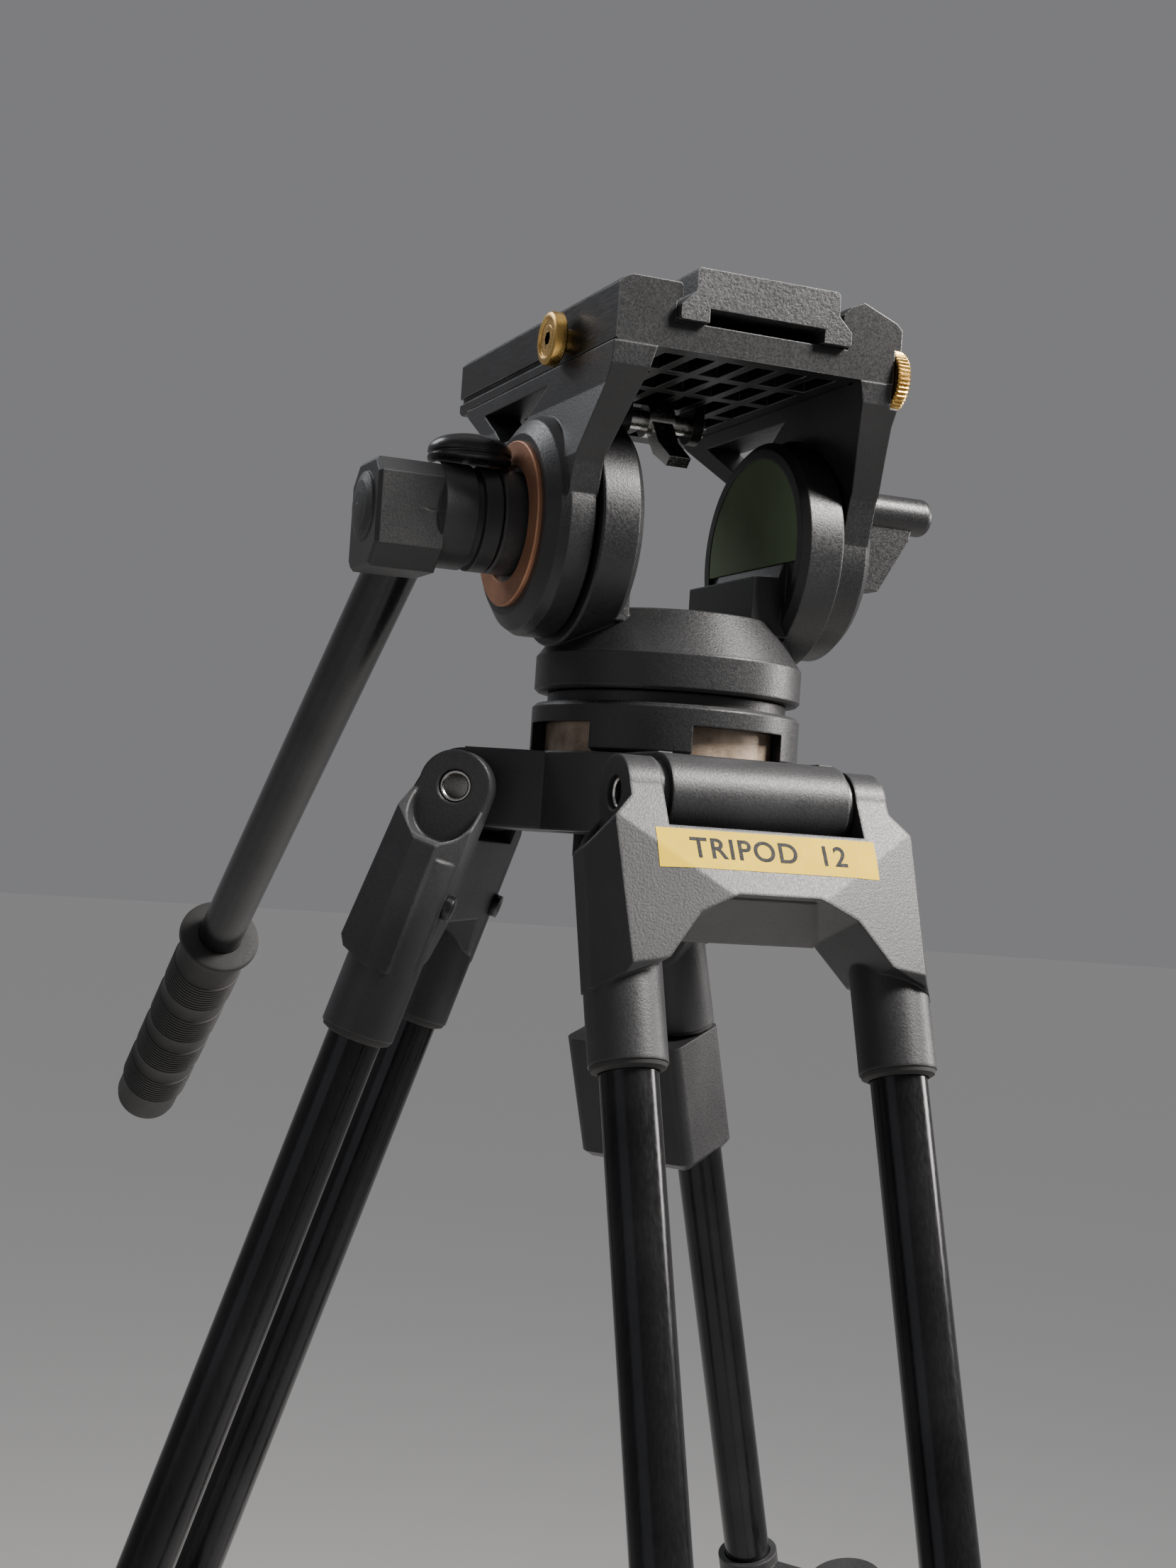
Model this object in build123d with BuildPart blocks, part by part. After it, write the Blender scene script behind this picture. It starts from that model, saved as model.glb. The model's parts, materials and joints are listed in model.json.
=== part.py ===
from build123d import *

import os
from math import cos, radians, sin

os.makedirs("parts", exist_ok=True)

# Video tripod with a fluid head, in millimetres, standing on the floor at z = 0.
# The tripod's axis is the z axis, the front leg points towards -y, and the lens end of the
# head looks the same way. Every leg piece is modelled once in the leg's own frame and placed
# three times: x runs along the leg's pin, y up the leg and z outwards from the tripod.

# ---------------------------------------------------------------- fits
running_gap = 0.05
slide_gap = 0.3
seat_gap = 0.02
face_gap = 0.4

# ---------------------------------------------------------------- stance
leg_splay = 18.0
foot_reach = 1236.0
pin_circle = 63.5
foot_ball_radius = 20.0
foot_ball_height = 14.0
pin_height = foot_reach * cos(radians(leg_splay)) + foot_ball_height
leg_angles = {"front": -90.0, "right": 30.0, "left": 150.0}

# ---------------------------------------------------------------- leg tubes
tube_spacing = 92.5
upper_tube_radius = 9.0
upper_tube_wall = 1.2
centre_tube_radius = 11.5
centre_tube_wall = 1.5
lower_tube_radius = centre_tube_radius - centre_tube_wall - slide_gap
lower_tube_wall = 1.3
tube_side = tube_spacing / 2

# Stations measured down the leg from its pin.
tube_seat = 62.0
collar_end = 86.0
bridge_top = 315.0
bridge_height = 28.0
lock_top = 440.0
lock_height = 62.0
upper_tube_end = lock_top + 32.0
centre_tube_end = 885.0
clamp_top = 850.0
clamp_height = 52.0
lower_tube_top = 640.0
boot_top = foot_reach - 58.0
lower_tube_end = foot_reach - 10.0

# ---------------------------------------------------------------- leg yoke
ear_inner = 34.0
ear_outer = 45.0
ear_shoulder = 5.0
ear_radius = 12.0
pin_outer_radius = 5.5
pin_bore_radius = 4.0
pin_half_length = 43.5
slot_depth = 14.4
collar_radius = 12.2
yoke_half_width = tube_side + collar_radius
yoke_back = 12.0
yoke_front_at_slot = 14.5
yoke_front_slope = 0.19
shoulder_depth = 20.0
yoke_skirt_depth = 64.0
arch_half_width = 14.0
arch_depth = 36.5
arch_haunch = (27.0, 42.5)
arch_spring = (38.0, 56.5)
arch_rear_drop = 7.0
facet_start = 16.0
ear_pocket_radius = 11.0
ear_pocket_drop = 8.5

# ---------------------------------------------------------------- crown
barrel_radius = 13.5
barrel_half_length = 31.0
crown_top = pin_height + 13.9
crown_bottom = pin_height - 12.3
bush_radius = 11.0
bush_length = ear_inner - barrel_half_length - slide_gap
stud_radius = 4.76
knob_radius = 29.0
knob_height = 9.0

# ---------------------------------------------------------------- head base and pan body
flange_radius = 46.0
flange_bottom = crown_top + face_gap
flange_windows = 4
flange_window_width = 36.0
flange_window_angle = -80.0
flange_top = pin_height + 31.0
seat_ring_radius = 41.0
seat_ring_height = 11.0
neck_radius = 41.0
pan_bottom = pin_height + 35.3
pan_shoulder = pin_height + 47.9
pan_top = pin_height + 63.1
pan_radius = 45.7
pan_top_radius = 34.0
spindle_radius = 10.0
spindle_top = pin_height + 56.0

# ---------------------------------------------------------------- tilt axis
tilt_height = pin_height + 89.15
yoke_disc_radius = 39.5
yoke_disc_inner = 29.1
yoke_disc_outer = 44.3
cover_radius = 33.5
cover_depth = 1.4
axle_radius = 8.0
axle_root = yoke_disc_inner + 3.0
housing_inner = 45.5
housing_radius = 37.0
housing_shoulder = 56.0
axle_tip = housing_shoulder - 2.0
housing_face = 61.0
housing_face_radius = 30.5
right_disc_radius = 35.0
right_disc_face = 58.3
washer_outer_radius = 27.8
washer_inner_radius = 19.7
washer_thickness = 1.6
hub_radius = 17.5
hub_end = 69.6
tilt_lock_height = tilt_height + 21.0
tilt_lock_end = 99.0
tilt_lock_stem_radius = 3.0

# ---------------------------------------------------------------- pan handle
rosette_start = hub_end + face_gap
block_start = 90.0
block_end = 112.5
block_rise = 15.0
block_drop = 20.5
block_half_depth = 15.0
bar_offset = 94.0
bar_angle = 33.0
bar_radius = 9.2
bar_wall = 1.5
bar_start = -12.0
socket_length = 80.0
groove_start = 76.0
groove_width = 3.0
groove_depth = 1.8
cap_radius = 11.5
cap_rise = 2.5
bar_in_grip = 6.0
grip_start = 279.0
grip_end = 434.0
grip_radius = 14.0
grip_band_radius = 15.0
grip_flange_radius = 17.0
grip_bands = 4
grip_band_pitch = 30.0
grip_band_length = 20.0
lock_knob_x = 77.5
lock_knob_height = 9.6
lock_knob_radius = 14.0
lock_knob_stem_radius = 3.0

# ---------------------------------------------------------------- platform and plate
platform_front = -57.0
platform_rear = 90.0
platform_half_width = 51.4
arm_proud = 0.6
arm_inner = 36.8
platform_bottom = pin_height + 142.0
channel_floor = pin_height + 151.0
rail_apex_height = pin_height + 167.5
rail_apex_x = 36.7
left_rail_front = pin_height + 163.5
left_rail_bevel_end = -20.0
rib_columns = 6
rib_rows = 5
rib_pitch = (11.0, 27.0)
rib_pocket = (7.5, 22.0, 4.5)
lug_start = 12.0
lug_width = 4.0
channel_half_width = 31.2
lip_half_width = 29.2
plate_front = -60.0
plate_length = 122.0
plate_top = pin_height + 168.5
plate_half_width = 25.9
plate_flare_half_width = 30.8
pad_thickness = 1.5
screw_radius = 3.175
screw_stand_out = 5.5
screw_slot_length = 62.0
screw_slot_width = 7.0
screw_head_slot_length = 70.0
screw_head_slot_width = 15.0
screw_head_radius = 7.0
screw_head_height = 3.5
plate_web = 5.0
screw_y = 0.0
screw_tip = plate_top + pad_thickness + screw_stand_out
screw_shank_radius = 2.4
screw_chamfer = 0.6
thread_start = plate_top + 0.3
dial_height = platform_bottom + 2.5
dial_y = -50.0
dial_radius = 10.5
dial_width = 5.0
dial_pocket_depth = 2.4
dial_pocket_radius = dial_radius + 1.0
dial_start = platform_half_width - dial_pocket_depth + face_gap
dial_knurls = 18
dial_knurl_radius = 1.3
dial_stem_radius = 3.0
button_height = platform_bottom + 7.5
button_y = -15.0
button_radius = 9.0
button_thickness = 4.5
button_stem_radius = 4.0
button_travel = 2.0
button_hex = 3.6
button_start = platform_half_width + arm_proud + button_travel + face_gap

# ---------------------------------------------------------------- flip locks
lever_half_width = 11.0
lever_barrel_radius = 5.0
lever_pin_radius = 2.5
lever_pivot_drop = 14.0
lever_ear_thickness = 4.0
paddle_thickness = 4.5
ring_radius = 17.0
clamp_ring_radius = 16.0

# ---------------------------------------------------------------- small fittings
level_radius = 8.0
level_height = 5.0
level_y = 16.0
pan_lock_height = pan_bottom + 6.6
pan_lock_radius = 8.5
pan_lock_length = 12.0
pan_lock_stem_radius = 3.0
release_y = 24.0
release_height = platform_bottom - 6.0
release_radius = 3.5
release_half_length = 18.0
case_width = 53.0
case_depth = 33.0
case_height = 50.0
case_centre = (62.5, -5.5)


def leg_place(angle):
    outward = Vector(cos(radians(angle)), sin(radians(angle)), 0)
    tangent = Vector(-outward.Y, outward.X, 0)
    facing = outward * cos(radians(leg_splay)) + Vector(0, 0, sin(radians(leg_splay)))
    origin = outward * pin_circle + Vector(0, 0, pin_height)
    return Location(Plane(origin=origin, x_dir=tangent, z_dir=facing))


def export_for_each_leg(piece, name):
    for leg, angle in leg_angles.items():
        placed = piece.moved(leg_place(angle))
        placed.label = f"{leg}_{name}"
        export_step(placed, f"parts/{placed.label}.step")


def barrel_place(angle, along):
    # On a leg pin's axis, z along the pin, a distance along from its middle.
    outward = Vector(cos(radians(angle)), sin(radians(angle)), 0)
    tangent = Vector(-outward.Y, outward.X, 0)
    origin = outward * pin_circle + tangent * along + Vector(0, 0, pin_height)
    return Location(Plane(origin=origin, x_dir=outward, z_dir=tangent))


def plane_through(a, b, c):
    along = Vector(*b) - Vector(*a)
    across = Vector(*c) - Vector(*a)
    return Plane(origin=a, x_dir=along, z_dir=along.cross(across))


# ================================================================ leg yoke
# Die-cast fork: two ears hold the pin, an arch joins two collars for the twin tubes.
def yoke_front(depth):
    return yoke_front_at_slot + yoke_front_slope * (depth - slot_depth)


with BuildPart() as leg_yoke:
    with BuildSketch(Plane.XY.offset(-yoke_back)):
        with BuildLine():
            Polyline(
                (0, -slot_depth),
                (ear_inner, -slot_depth),
                (ear_inner, 0),
                (ear_outer, 0),
                (ear_outer, -ear_shoulder),
                (yoke_half_width, -shoulder_depth),
                (yoke_half_width, -yoke_skirt_depth),
                (arch_spring[0], -arch_spring[1]),
                (arch_haunch[0], -arch_haunch[1]),
                (arch_half_width, -arch_depth),
                (0, -arch_depth),
                close=True,
            )
        make_face()
        mirror(about=Plane.YZ)
    extrude(amount=yoke_back + yoke_front(yoke_skirt_depth))
    front_face = Plane(origin=(0, -slot_depth, yoke_front_at_slot), z_dir=(0, yoke_front_slope, 1))
    with BuildSketch(front_face):
        Rectangle(4 * yoke_half_width, 4 * yoke_skirt_depth)
    extrude(amount=yoke_skirt_depth, mode=Mode.SUBTRACT)
    for side in (1, -1):
        ear_corner = (side * ear_outer, -facet_start, yoke_front(facet_start))
        arch_corner = (side * (arch_half_width + 1), -arch_depth - 1, yoke_front(arch_depth + 1))
        spring_corner = (side * (arch_spring[0] + 3), -arch_spring[1], 17.0)
        facet = plane_through(ear_corner, arch_corner, spring_corner)
        if side < 0:
            facet = plane_through(ear_corner, spring_corner, arch_corner)
        with BuildSketch(facet):
            Rectangle(4 * yoke_half_width, 4 * yoke_skirt_depth)
        extrude(amount=yoke_skirt_depth, mode=Mode.SUBTRACT)
        side_bevel = Plane(origin=(side * (yoke_half_width - 8), 0, 15.5), z_dir=(side * 12.0, 0, 8.4))
        with BuildSketch(side_bevel):
            Rectangle(4 * yoke_half_width, 4 * yoke_skirt_depth)
        extrude(amount=yoke_skirt_depth, mode=Mode.SUBTRACT)
        back_bevel = Plane(origin=(side * (yoke_half_width - 4), 0, 4 - yoke_back), z_dir=(side, 0, -1))
        with BuildSketch(back_bevel):
            Rectangle(4 * yoke_half_width, 4 * yoke_skirt_depth)
        extrude(amount=yoke_skirt_depth, mode=Mode.SUBTRACT)
    skirt_bevel = Plane(origin=(0, -arch_spring[1], 17.5), z_dir=(0, -0.6, 0.8))
    with BuildSketch(skirt_bevel):
        Rectangle(4 * yoke_half_width, 4 * yoke_skirt_depth)
    extrude(amount=yoke_skirt_depth, mode=Mode.SUBTRACT)
    # web behind the arch, deeper towards the back
    with BuildSketch(Plane.YZ.offset(-arch_haunch[0])):
        with BuildLine():
            Polyline(
                (2 - arch_depth, -yoke_back),
                (-arch_depth - arch_rear_drop, -yoke_back),
                (-arch_depth - 0.5, yoke_front_at_slot),
                (2 - arch_depth, yoke_front_at_slot),
                close=True,
            )
        make_face()
    extrude(amount=2 * arch_haunch[0])
    # collars round the tubes
    with Locations(
        (tube_side, -(collar_end + 24) / 2, 0),
        (-tube_side, -(collar_end + 24) / 2, 0),
    ):
        Cylinder(collar_radius, collar_end - 24, rotation=(90, 0, 0))
    # ears round the pin
    ear_middle = (ear_inner + ear_outer) / 2
    with Locations((ear_middle, 0, 0), (-ear_middle, 0, 0)):
        Cylinder(ear_radius, ear_outer - ear_inner, rotation=(0, 90, 0))
    # rounded pocket outside each ear
    for side in (1, -1):
        with BuildSketch(Plane.YZ.offset(side * (ear_outer + ear_radius))):
            with Locations((-ear_pocket_drop, 0)):
                Circle(ear_pocket_radius)
            with Locations((15 - ear_pocket_drop, 0)):
                Rectangle(30, 2 * ear_pocket_radius)
        extrude(amount=-side * ear_radius, mode=Mode.SUBTRACT)
    Cylinder(pin_outer_radius + seat_gap, 3 * ear_outer, rotation=(0, 90, 0), mode=Mode.SUBTRACT)
    with Locations(
        (tube_side, -(collar_end + tube_seat) / 2, 0),
        (-tube_side, -(collar_end + tube_seat) / 2, 0),
    ):
        Cylinder(
            upper_tube_radius + seat_gap,
            collar_end - tube_seat,
            rotation=(90, 0, 0),
            mode=Mode.SUBTRACT,
        )
export_for_each_leg(leg_yoke.part, "leg_yoke")

# ================================================================ leg pin
# Hollow steel pin pressed into the ears and turning in the crown's barrel.
with BuildPart() as leg_pin:
    Cylinder(pin_outer_radius, 2 * pin_half_length, rotation=(0, 90, 0))
    Cylinder(pin_bore_radius, 2 * pin_half_length, rotation=(0, 90, 0), mode=Mode.SUBTRACT)
    chamfer(leg_pin.edges().group_by(Axis.X)[-1], 0.5)
    chamfer(leg_pin.edges().group_by(Axis.X)[0], 0.5)
export_for_each_leg(leg_pin.part, "leg_pin")


# ================================================================ tubes
def leg_tube(top, end, radius, wall, sides):
    with BuildPart() as tube:
        with Locations(*[(side, -(top + end) / 2, 0) for side in sides]):
            Cylinder(radius, end - top, rotation=(90, 0, 0))
        with Locations(*[(side, -(top + end) / 2, 0) for side in sides]):
            Cylinder(radius - wall, end - top, rotation=(90, 0, 0), mode=Mode.SUBTRACT)
    return tube.part


twin_sides = (tube_side, -tube_side)
upper_tubes = leg_tube(tube_seat, upper_tube_end, upper_tube_radius, upper_tube_wall, twin_sides)
export_for_each_leg(upper_tubes, "upper_tubes")
centre_tube = leg_tube(
    bridge_top + 4, centre_tube_end, centre_tube_radius, centre_tube_wall, (0,)
)
export_for_each_leg(centre_tube, "centre_tube")
lower_tube = leg_tube(lower_tube_top, lower_tube_end, lower_tube_radius, lower_tube_wall, (0,))
export_for_each_leg(lower_tube, "lower_tube")


# ================================================================ flip locks
# A cam lever between two ears squeezes a split ring; both locks share this shape.
def lock_ears(top, ring_radius):
    # Both ears of a flip lock, standing out of the front of its ring.
    pivot_out = ring_radius + lever_barrel_radius + face_gap
    with BuildPart() as ears:
        for side in (1, -1):
            ear_start = side * (lever_half_width + slide_gap)
            with BuildSketch(Plane.YZ.offset(ear_start)):
                with Locations((-top - lever_pivot_drop, pivot_out)):
                    Circle(lever_barrel_radius + 1)
                with Locations((-top - lever_pivot_drop, pivot_out / 2)):
                    Rectangle(2 * lever_barrel_radius + 2, pivot_out)
            extrude(amount=side * lever_ear_thickness)
        with Locations((0, -top - lever_pivot_drop, pivot_out)):
            Cylinder(
                lever_pin_radius + running_gap,
                4 * lever_half_width,
                rotation=(0, 90, 0),
                mode=Mode.SUBTRACT,
            )
    return ears.part


def flip_lever(top, ring_radius, length):
    # Cam barrel with its pin and a paddle that lies down the leg when locked.
    pivot_out = ring_radius + lever_barrel_radius + face_gap
    pin_length = 2 * (lever_half_width + slide_gap + lever_ear_thickness)
    with BuildPart() as lever:
        paddle_plane = Plane.XY.offset(pivot_out + lever_barrel_radius - paddle_thickness)
        with BuildSketch(paddle_plane):
            with Locations((0, -top - lever_pivot_drop - length / 2)):
                Rectangle(2 * lever_half_width, length)
            with Locations((0, -top - lever_pivot_drop - length)):
                Circle(lever_half_width)
        extrude(amount=paddle_thickness)
        chamfer(lever.faces().sort_by(Axis.Z)[-1].edges(), 1.0)
        with Locations((0, -top - lever_pivot_drop, pivot_out)):
            Cylinder(lever_barrel_radius, 2 * lever_half_width, rotation=(0, 90, 0))
            Cylinder(lever_pin_radius, pin_length, rotation=(0, 90, 0))
    return lever.part


# ================================================================ mid lock block
# Joins the twin tubes' lower ends and clamps the centre tube between them.
with BuildPart() as lock_block:
    with Locations(
        (tube_side, -lock_top - lock_height / 2, 0), (-tube_side, -lock_top - lock_height / 2, 0)
    ):
        Cylinder(collar_radius, lock_height, rotation=(90, 0, 0))
    with BuildSketch(Plane.XY.offset(-8)):
        with BuildLine():
            Polyline(
                (0, -lock_top),
                (tube_side, -lock_top - 8),
                (tube_side, -lock_top - lock_height + 6),
                (ring_radius, -lock_top - lock_height + 16),
                (0, -lock_top - lock_height + 16),
                close=True,
            )
        make_face()
        mirror(about=Plane.YZ)
    extrude(amount=16)
    with Locations((0, -lock_top - lock_height / 2 + 3, 0)):
        Cylinder(ring_radius, lock_height - 6, rotation=(90, 0, 0))
    add(lock_ears(lock_top, ring_radius))
    with Locations((0, -lock_top - lock_height / 2, 0)):
        Cylinder(
            centre_tube_radius + slide_gap,
            2 * lock_height,
            rotation=(90, 0, 0),
            mode=Mode.SUBTRACT,
        )
    with Locations(
        (tube_side, -(lock_top + upper_tube_end) / 2, 0),
        (-tube_side, -(lock_top + upper_tube_end) / 2, 0),
    ):
        Cylinder(
            upper_tube_radius + seat_gap,
            upper_tube_end - lock_top,
            rotation=(90, 0, 0),
            mode=Mode.SUBTRACT,
        )
export_for_each_leg(lock_block.part, "lock_block")
export_for_each_leg(flip_lever(lock_top, ring_radius, 34), "lock_lever")

# ================================================================ guide bridge
# Moulded bridge on the centre tube's top end; its two sleeves run on the twin tubes.
bridge_sleeve_radius = 12.0
with BuildPart() as guide_bridge:
    bridge_middle = -bridge_top - bridge_height / 2
    with Locations((tube_side, bridge_middle, 0), (-tube_side, bridge_middle, 0)):
        Cylinder(bridge_sleeve_radius, bridge_height, rotation=(90, 0, 0))
    with Locations((0, bridge_middle, 0)):
        Cylinder(centre_tube_radius + 3, bridge_height, rotation=(90, 0, 0))
        Box(tube_spacing, bridge_height - 8, 8)
    with Locations((tube_side, bridge_middle, 0), (-tube_side, bridge_middle, 0)):
        Cylinder(
            upper_tube_radius + slide_gap,
            bridge_height,
            rotation=(90, 0, 0),
            mode=Mode.SUBTRACT,
        )
    with Locations((0, bridge_middle - 4, 0)):
        Cylinder(
            centre_tube_radius + seat_gap, bridge_height, rotation=(90, 0, 0), mode=Mode.SUBTRACT
        )
export_for_each_leg(guide_bridge.part, "guide_bridge")

# ================================================================ lower clamp
# Ring clamp on the centre tube's lower end with its own flip lever.
with BuildPart() as lower_clamp:
    with Locations((0, -clamp_top - clamp_height / 2, 0)):
        Cylinder(clamp_ring_radius, clamp_height, rotation=(90, 0, 0))
    add(lock_ears(clamp_top, clamp_ring_radius))
    chamfer(lower_clamp.edges().group_by(Axis.Y)[0], 1.5)
    with Locations((0, -(clamp_top + centre_tube_end) / 2, 0)):
        Cylinder(
            centre_tube_radius + seat_gap,
            centre_tube_end - clamp_top,
            rotation=(90, 0, 0),
            mode=Mode.SUBTRACT,
        )
    with Locations((0, -clamp_top - clamp_height / 2, 0)):
        Cylinder(
            lower_tube_radius + slide_gap,
            2 * clamp_height,
            rotation=(90, 0, 0),
            mode=Mode.SUBTRACT,
        )
export_for_each_leg(lower_clamp.part, "lower_clamp")
export_for_each_leg(flip_lever(clamp_top, clamp_ring_radius, 26), "lower_lever")

# ================================================================ rubber foot
# Boot over the lower tube with a ball end whose sole is flat on the floor.
with BuildPart() as foot:
    with BuildSketch(Plane.XY):
        with BuildLine():
            Polyline(
                (0, -boot_top),
                (lower_tube_radius + 3, -boot_top),
                (lower_tube_radius + 4, -boot_top - 8),
                (lower_tube_radius + 5.5, -foot_reach + 12),
                (lower_tube_radius + 5.5, -foot_reach),
                (0, -foot_reach),
                close=True,
            )
        make_face()
    revolve(axis=Axis.Y)
    with Locations((0, -foot_reach, 0)):
        Sphere(foot_ball_radius)
    for step in range(3):
        with Locations((0, -boot_top - 14 - 9 * step, 0)):
            Torus(lower_tube_radius + 6, 1.8, rotation=(90, 0, 0), mode=Mode.SUBTRACT)
    floor_normal = (0, -cos(radians(leg_splay)), -sin(radians(leg_splay)))
    floor_drop = foot_ball_height
    floor_origin = Vector(0, -foot_reach, 0) + Vector(*floor_normal) * floor_drop
    with BuildSketch(Plane(origin=floor_origin, z_dir=floor_normal)):
        Rectangle(4 * foot_ball_radius, 4 * foot_ball_radius)
    extrude(amount=2 * foot_ball_radius, mode=Mode.SUBTRACT)
    with Locations((0, -(boot_top + lower_tube_end) / 2, 0)):
        Cylinder(
            lower_tube_radius + seat_gap,
            lower_tube_end - boot_top,
            rotation=(90, 0, 0),
            mode=Mode.SUBTRACT,
        )
export_for_each_leg(foot.part, "foot")

# ================================================================ crown
# Cast spider: three arms end in barrels that the leg pins run through.
crown_height = crown_top - crown_bottom
crown_hub_radius = 48.0
with BuildPart() as crown:
    with BuildSketch(Plane.XY.offset(crown_bottom)):
        Circle(crown_hub_radius)
        for angle in leg_angles.values():
            reach = Vector(pin_circle / 2, 0).rotate(Axis.Z, angle)
            with Locations(Location((reach.X, reach.Y), angle)):
                Rectangle(pin_circle, 2 * barrel_half_length)
    extrude(amount=crown_height)
    with Locations(*[barrel_place(angle, 0) for angle in leg_angles.values()]):
        Cylinder(barrel_radius, 2 * barrel_half_length)
    with Locations(*[barrel_place(angle, 0) for angle in leg_angles.values()]):
        Cylinder(pin_outer_radius + running_gap, 4 * barrel_half_length, mode=Mode.SUBTRACT)
    for angle in leg_angles.values():
        # tapered relief in the top of each barrel, next to the head's flange
        relief_origin = Vector(pin_circle + 1, 0, 0).rotate(Axis.Z, angle) + Vector(0, 0, crown_top)
        relief_out = Vector(1, 0, 0).rotate(Axis.Z, angle)
        relief_side = Vector(0, 1, 0).rotate(Axis.Z, angle)
        relief_plane = Plane(
            origin=relief_origin, x_dir=relief_side, z_dir=relief_out * 0.5 + Vector(0, 0, 0.87)
        )
        with BuildSketch(relief_plane):
            Trapezoid(52, 8, 50, align=(Align.CENTER, Align.MIN), rotation=180)
            Trapezoid(52, 22, 90, align=(Align.CENTER, Align.MIN))
        extrude(amount=-3.2, mode=Mode.SUBTRACT)
    with Locations((0, 0, pin_height)):
        Cylinder(stud_radius + slide_gap, 2 * crown_height, mode=Mode.SUBTRACT)
    # hollow underside between the ribs
    with BuildSketch(Plane.XY.offset(crown_bottom)):
        with PolarLocations(27, 6, start_angle=30):
            RegularPolygon(11, 6)
    extrude(amount=9, mode=Mode.SUBTRACT)
crown.part.label = "crown"
export_step(crown.part, "parts/crown.step")

# ================================================================ bush rings
# Flanged plastic bushes at both ends of each barrel, one group of rings.
with BuildPart() as bush_rings:
    bush_middle = barrel_half_length + bush_length / 2
    for angle in leg_angles.values():
        with Locations(barrel_place(angle, bush_middle), barrel_place(angle, -bush_middle)):
            Cylinder(bush_radius, bush_length)
            Cylinder(pin_outer_radius + running_gap, bush_length, mode=Mode.SUBTRACT)
bush_rings.part.label = "bush_rings"
export_step(bush_rings.part, "parts/bush_rings.step")


# ================================================================ turned rings and base
def turned(profile):
    # A solid of revolution about the tripod's axis from (radius, height) points.
    with BuildPart() as solid:
        with BuildSketch(Plane.XZ):
            with BuildLine():
                Polyline(*profile, close=True)
            make_face()
        revolve(axis=Axis.Z)
    return solid.part


seat_ring_top = crown_top + seat_ring_height
stud_top = flange_top - 4
with BuildPart() as seat_ring:
    add(
        turned(
            [
                (stud_radius + slide_gap, crown_top),
                (seat_ring_radius, crown_top),
                (seat_ring_radius, seat_ring_top),
                (stud_radius + slide_gap, seat_ring_top),
            ]
        )
    )
seat_ring.part.label = "seat_ring"
export_step(seat_ring.part, "parts/seat_ring.step")

# Base flange with its neck and the spindle that the head pans on.
flange_edge = 1.2
with BuildPart() as base_flange:
    add(
        turned(
            [
                (stud_radius + running_gap, seat_ring_top),
                (seat_ring_radius + seat_gap, seat_ring_top),
                (seat_ring_radius + seat_gap, flange_bottom),
                (flange_radius - flange_edge, flange_bottom),
                (flange_radius, flange_bottom + flange_edge),
                (flange_radius, flange_top - flange_edge),
                (flange_radius - flange_edge, flange_top),
                (neck_radius, flange_top),
                (neck_radius, pan_bottom - face_gap),
                (spindle_radius, pan_bottom - face_gap),
                (spindle_radius, spindle_top),
                (0, spindle_top),
                (0, stud_top),
                (stud_radius + running_gap, stud_top),
            ]
        )
    )
    # windows in the skirt that show the seat ring
    with BuildSketch(Plane.XY.offset(flange_bottom)):
        with PolarLocations(flange_radius, flange_windows, start_angle=flange_window_angle):
            Rectangle(2 * flange_radius - 2 * neck_radius + 14, flange_window_width)
        Circle(seat_ring_radius, mode=Mode.SUBTRACT)
    extrude(amount=seat_ring_top - flange_bottom - 0.8, mode=Mode.SUBTRACT)
base_flange.part.label = "base_flange"
export_step(base_flange.part, "parts/base_flange.step")

# Hand knob and stud under the crown that pull the head down on its seat.
with BuildPart() as tie_down_knob:
    with BuildSketch(Plane.XY.offset(crown_bottom - face_gap - knob_height)):
        Circle(knob_radius)
        with PolarLocations(knob_radius + 4, 8):
            Circle(7, mode=Mode.SUBTRACT)
    extrude(amount=knob_height)
    chamfer(tie_down_knob.edges().group_by(Axis.Z)[0], 1.5)
    stud_bottom = crown_bottom - face_gap - knob_height
    with Locations((0, 0, (stud_bottom + stud_top) / 2 - 0.5)):
        Cylinder(stud_radius, stud_top - stud_bottom - 1)
    with BuildSketch(Plane.XY.offset(stud_bottom)):
        Circle(10)
    extrude(amount=-4)
tie_down_knob.part.label = "tie_down_knob"
export_step(tie_down_knob.part, "parts/tie_down_knob.step")

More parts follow.
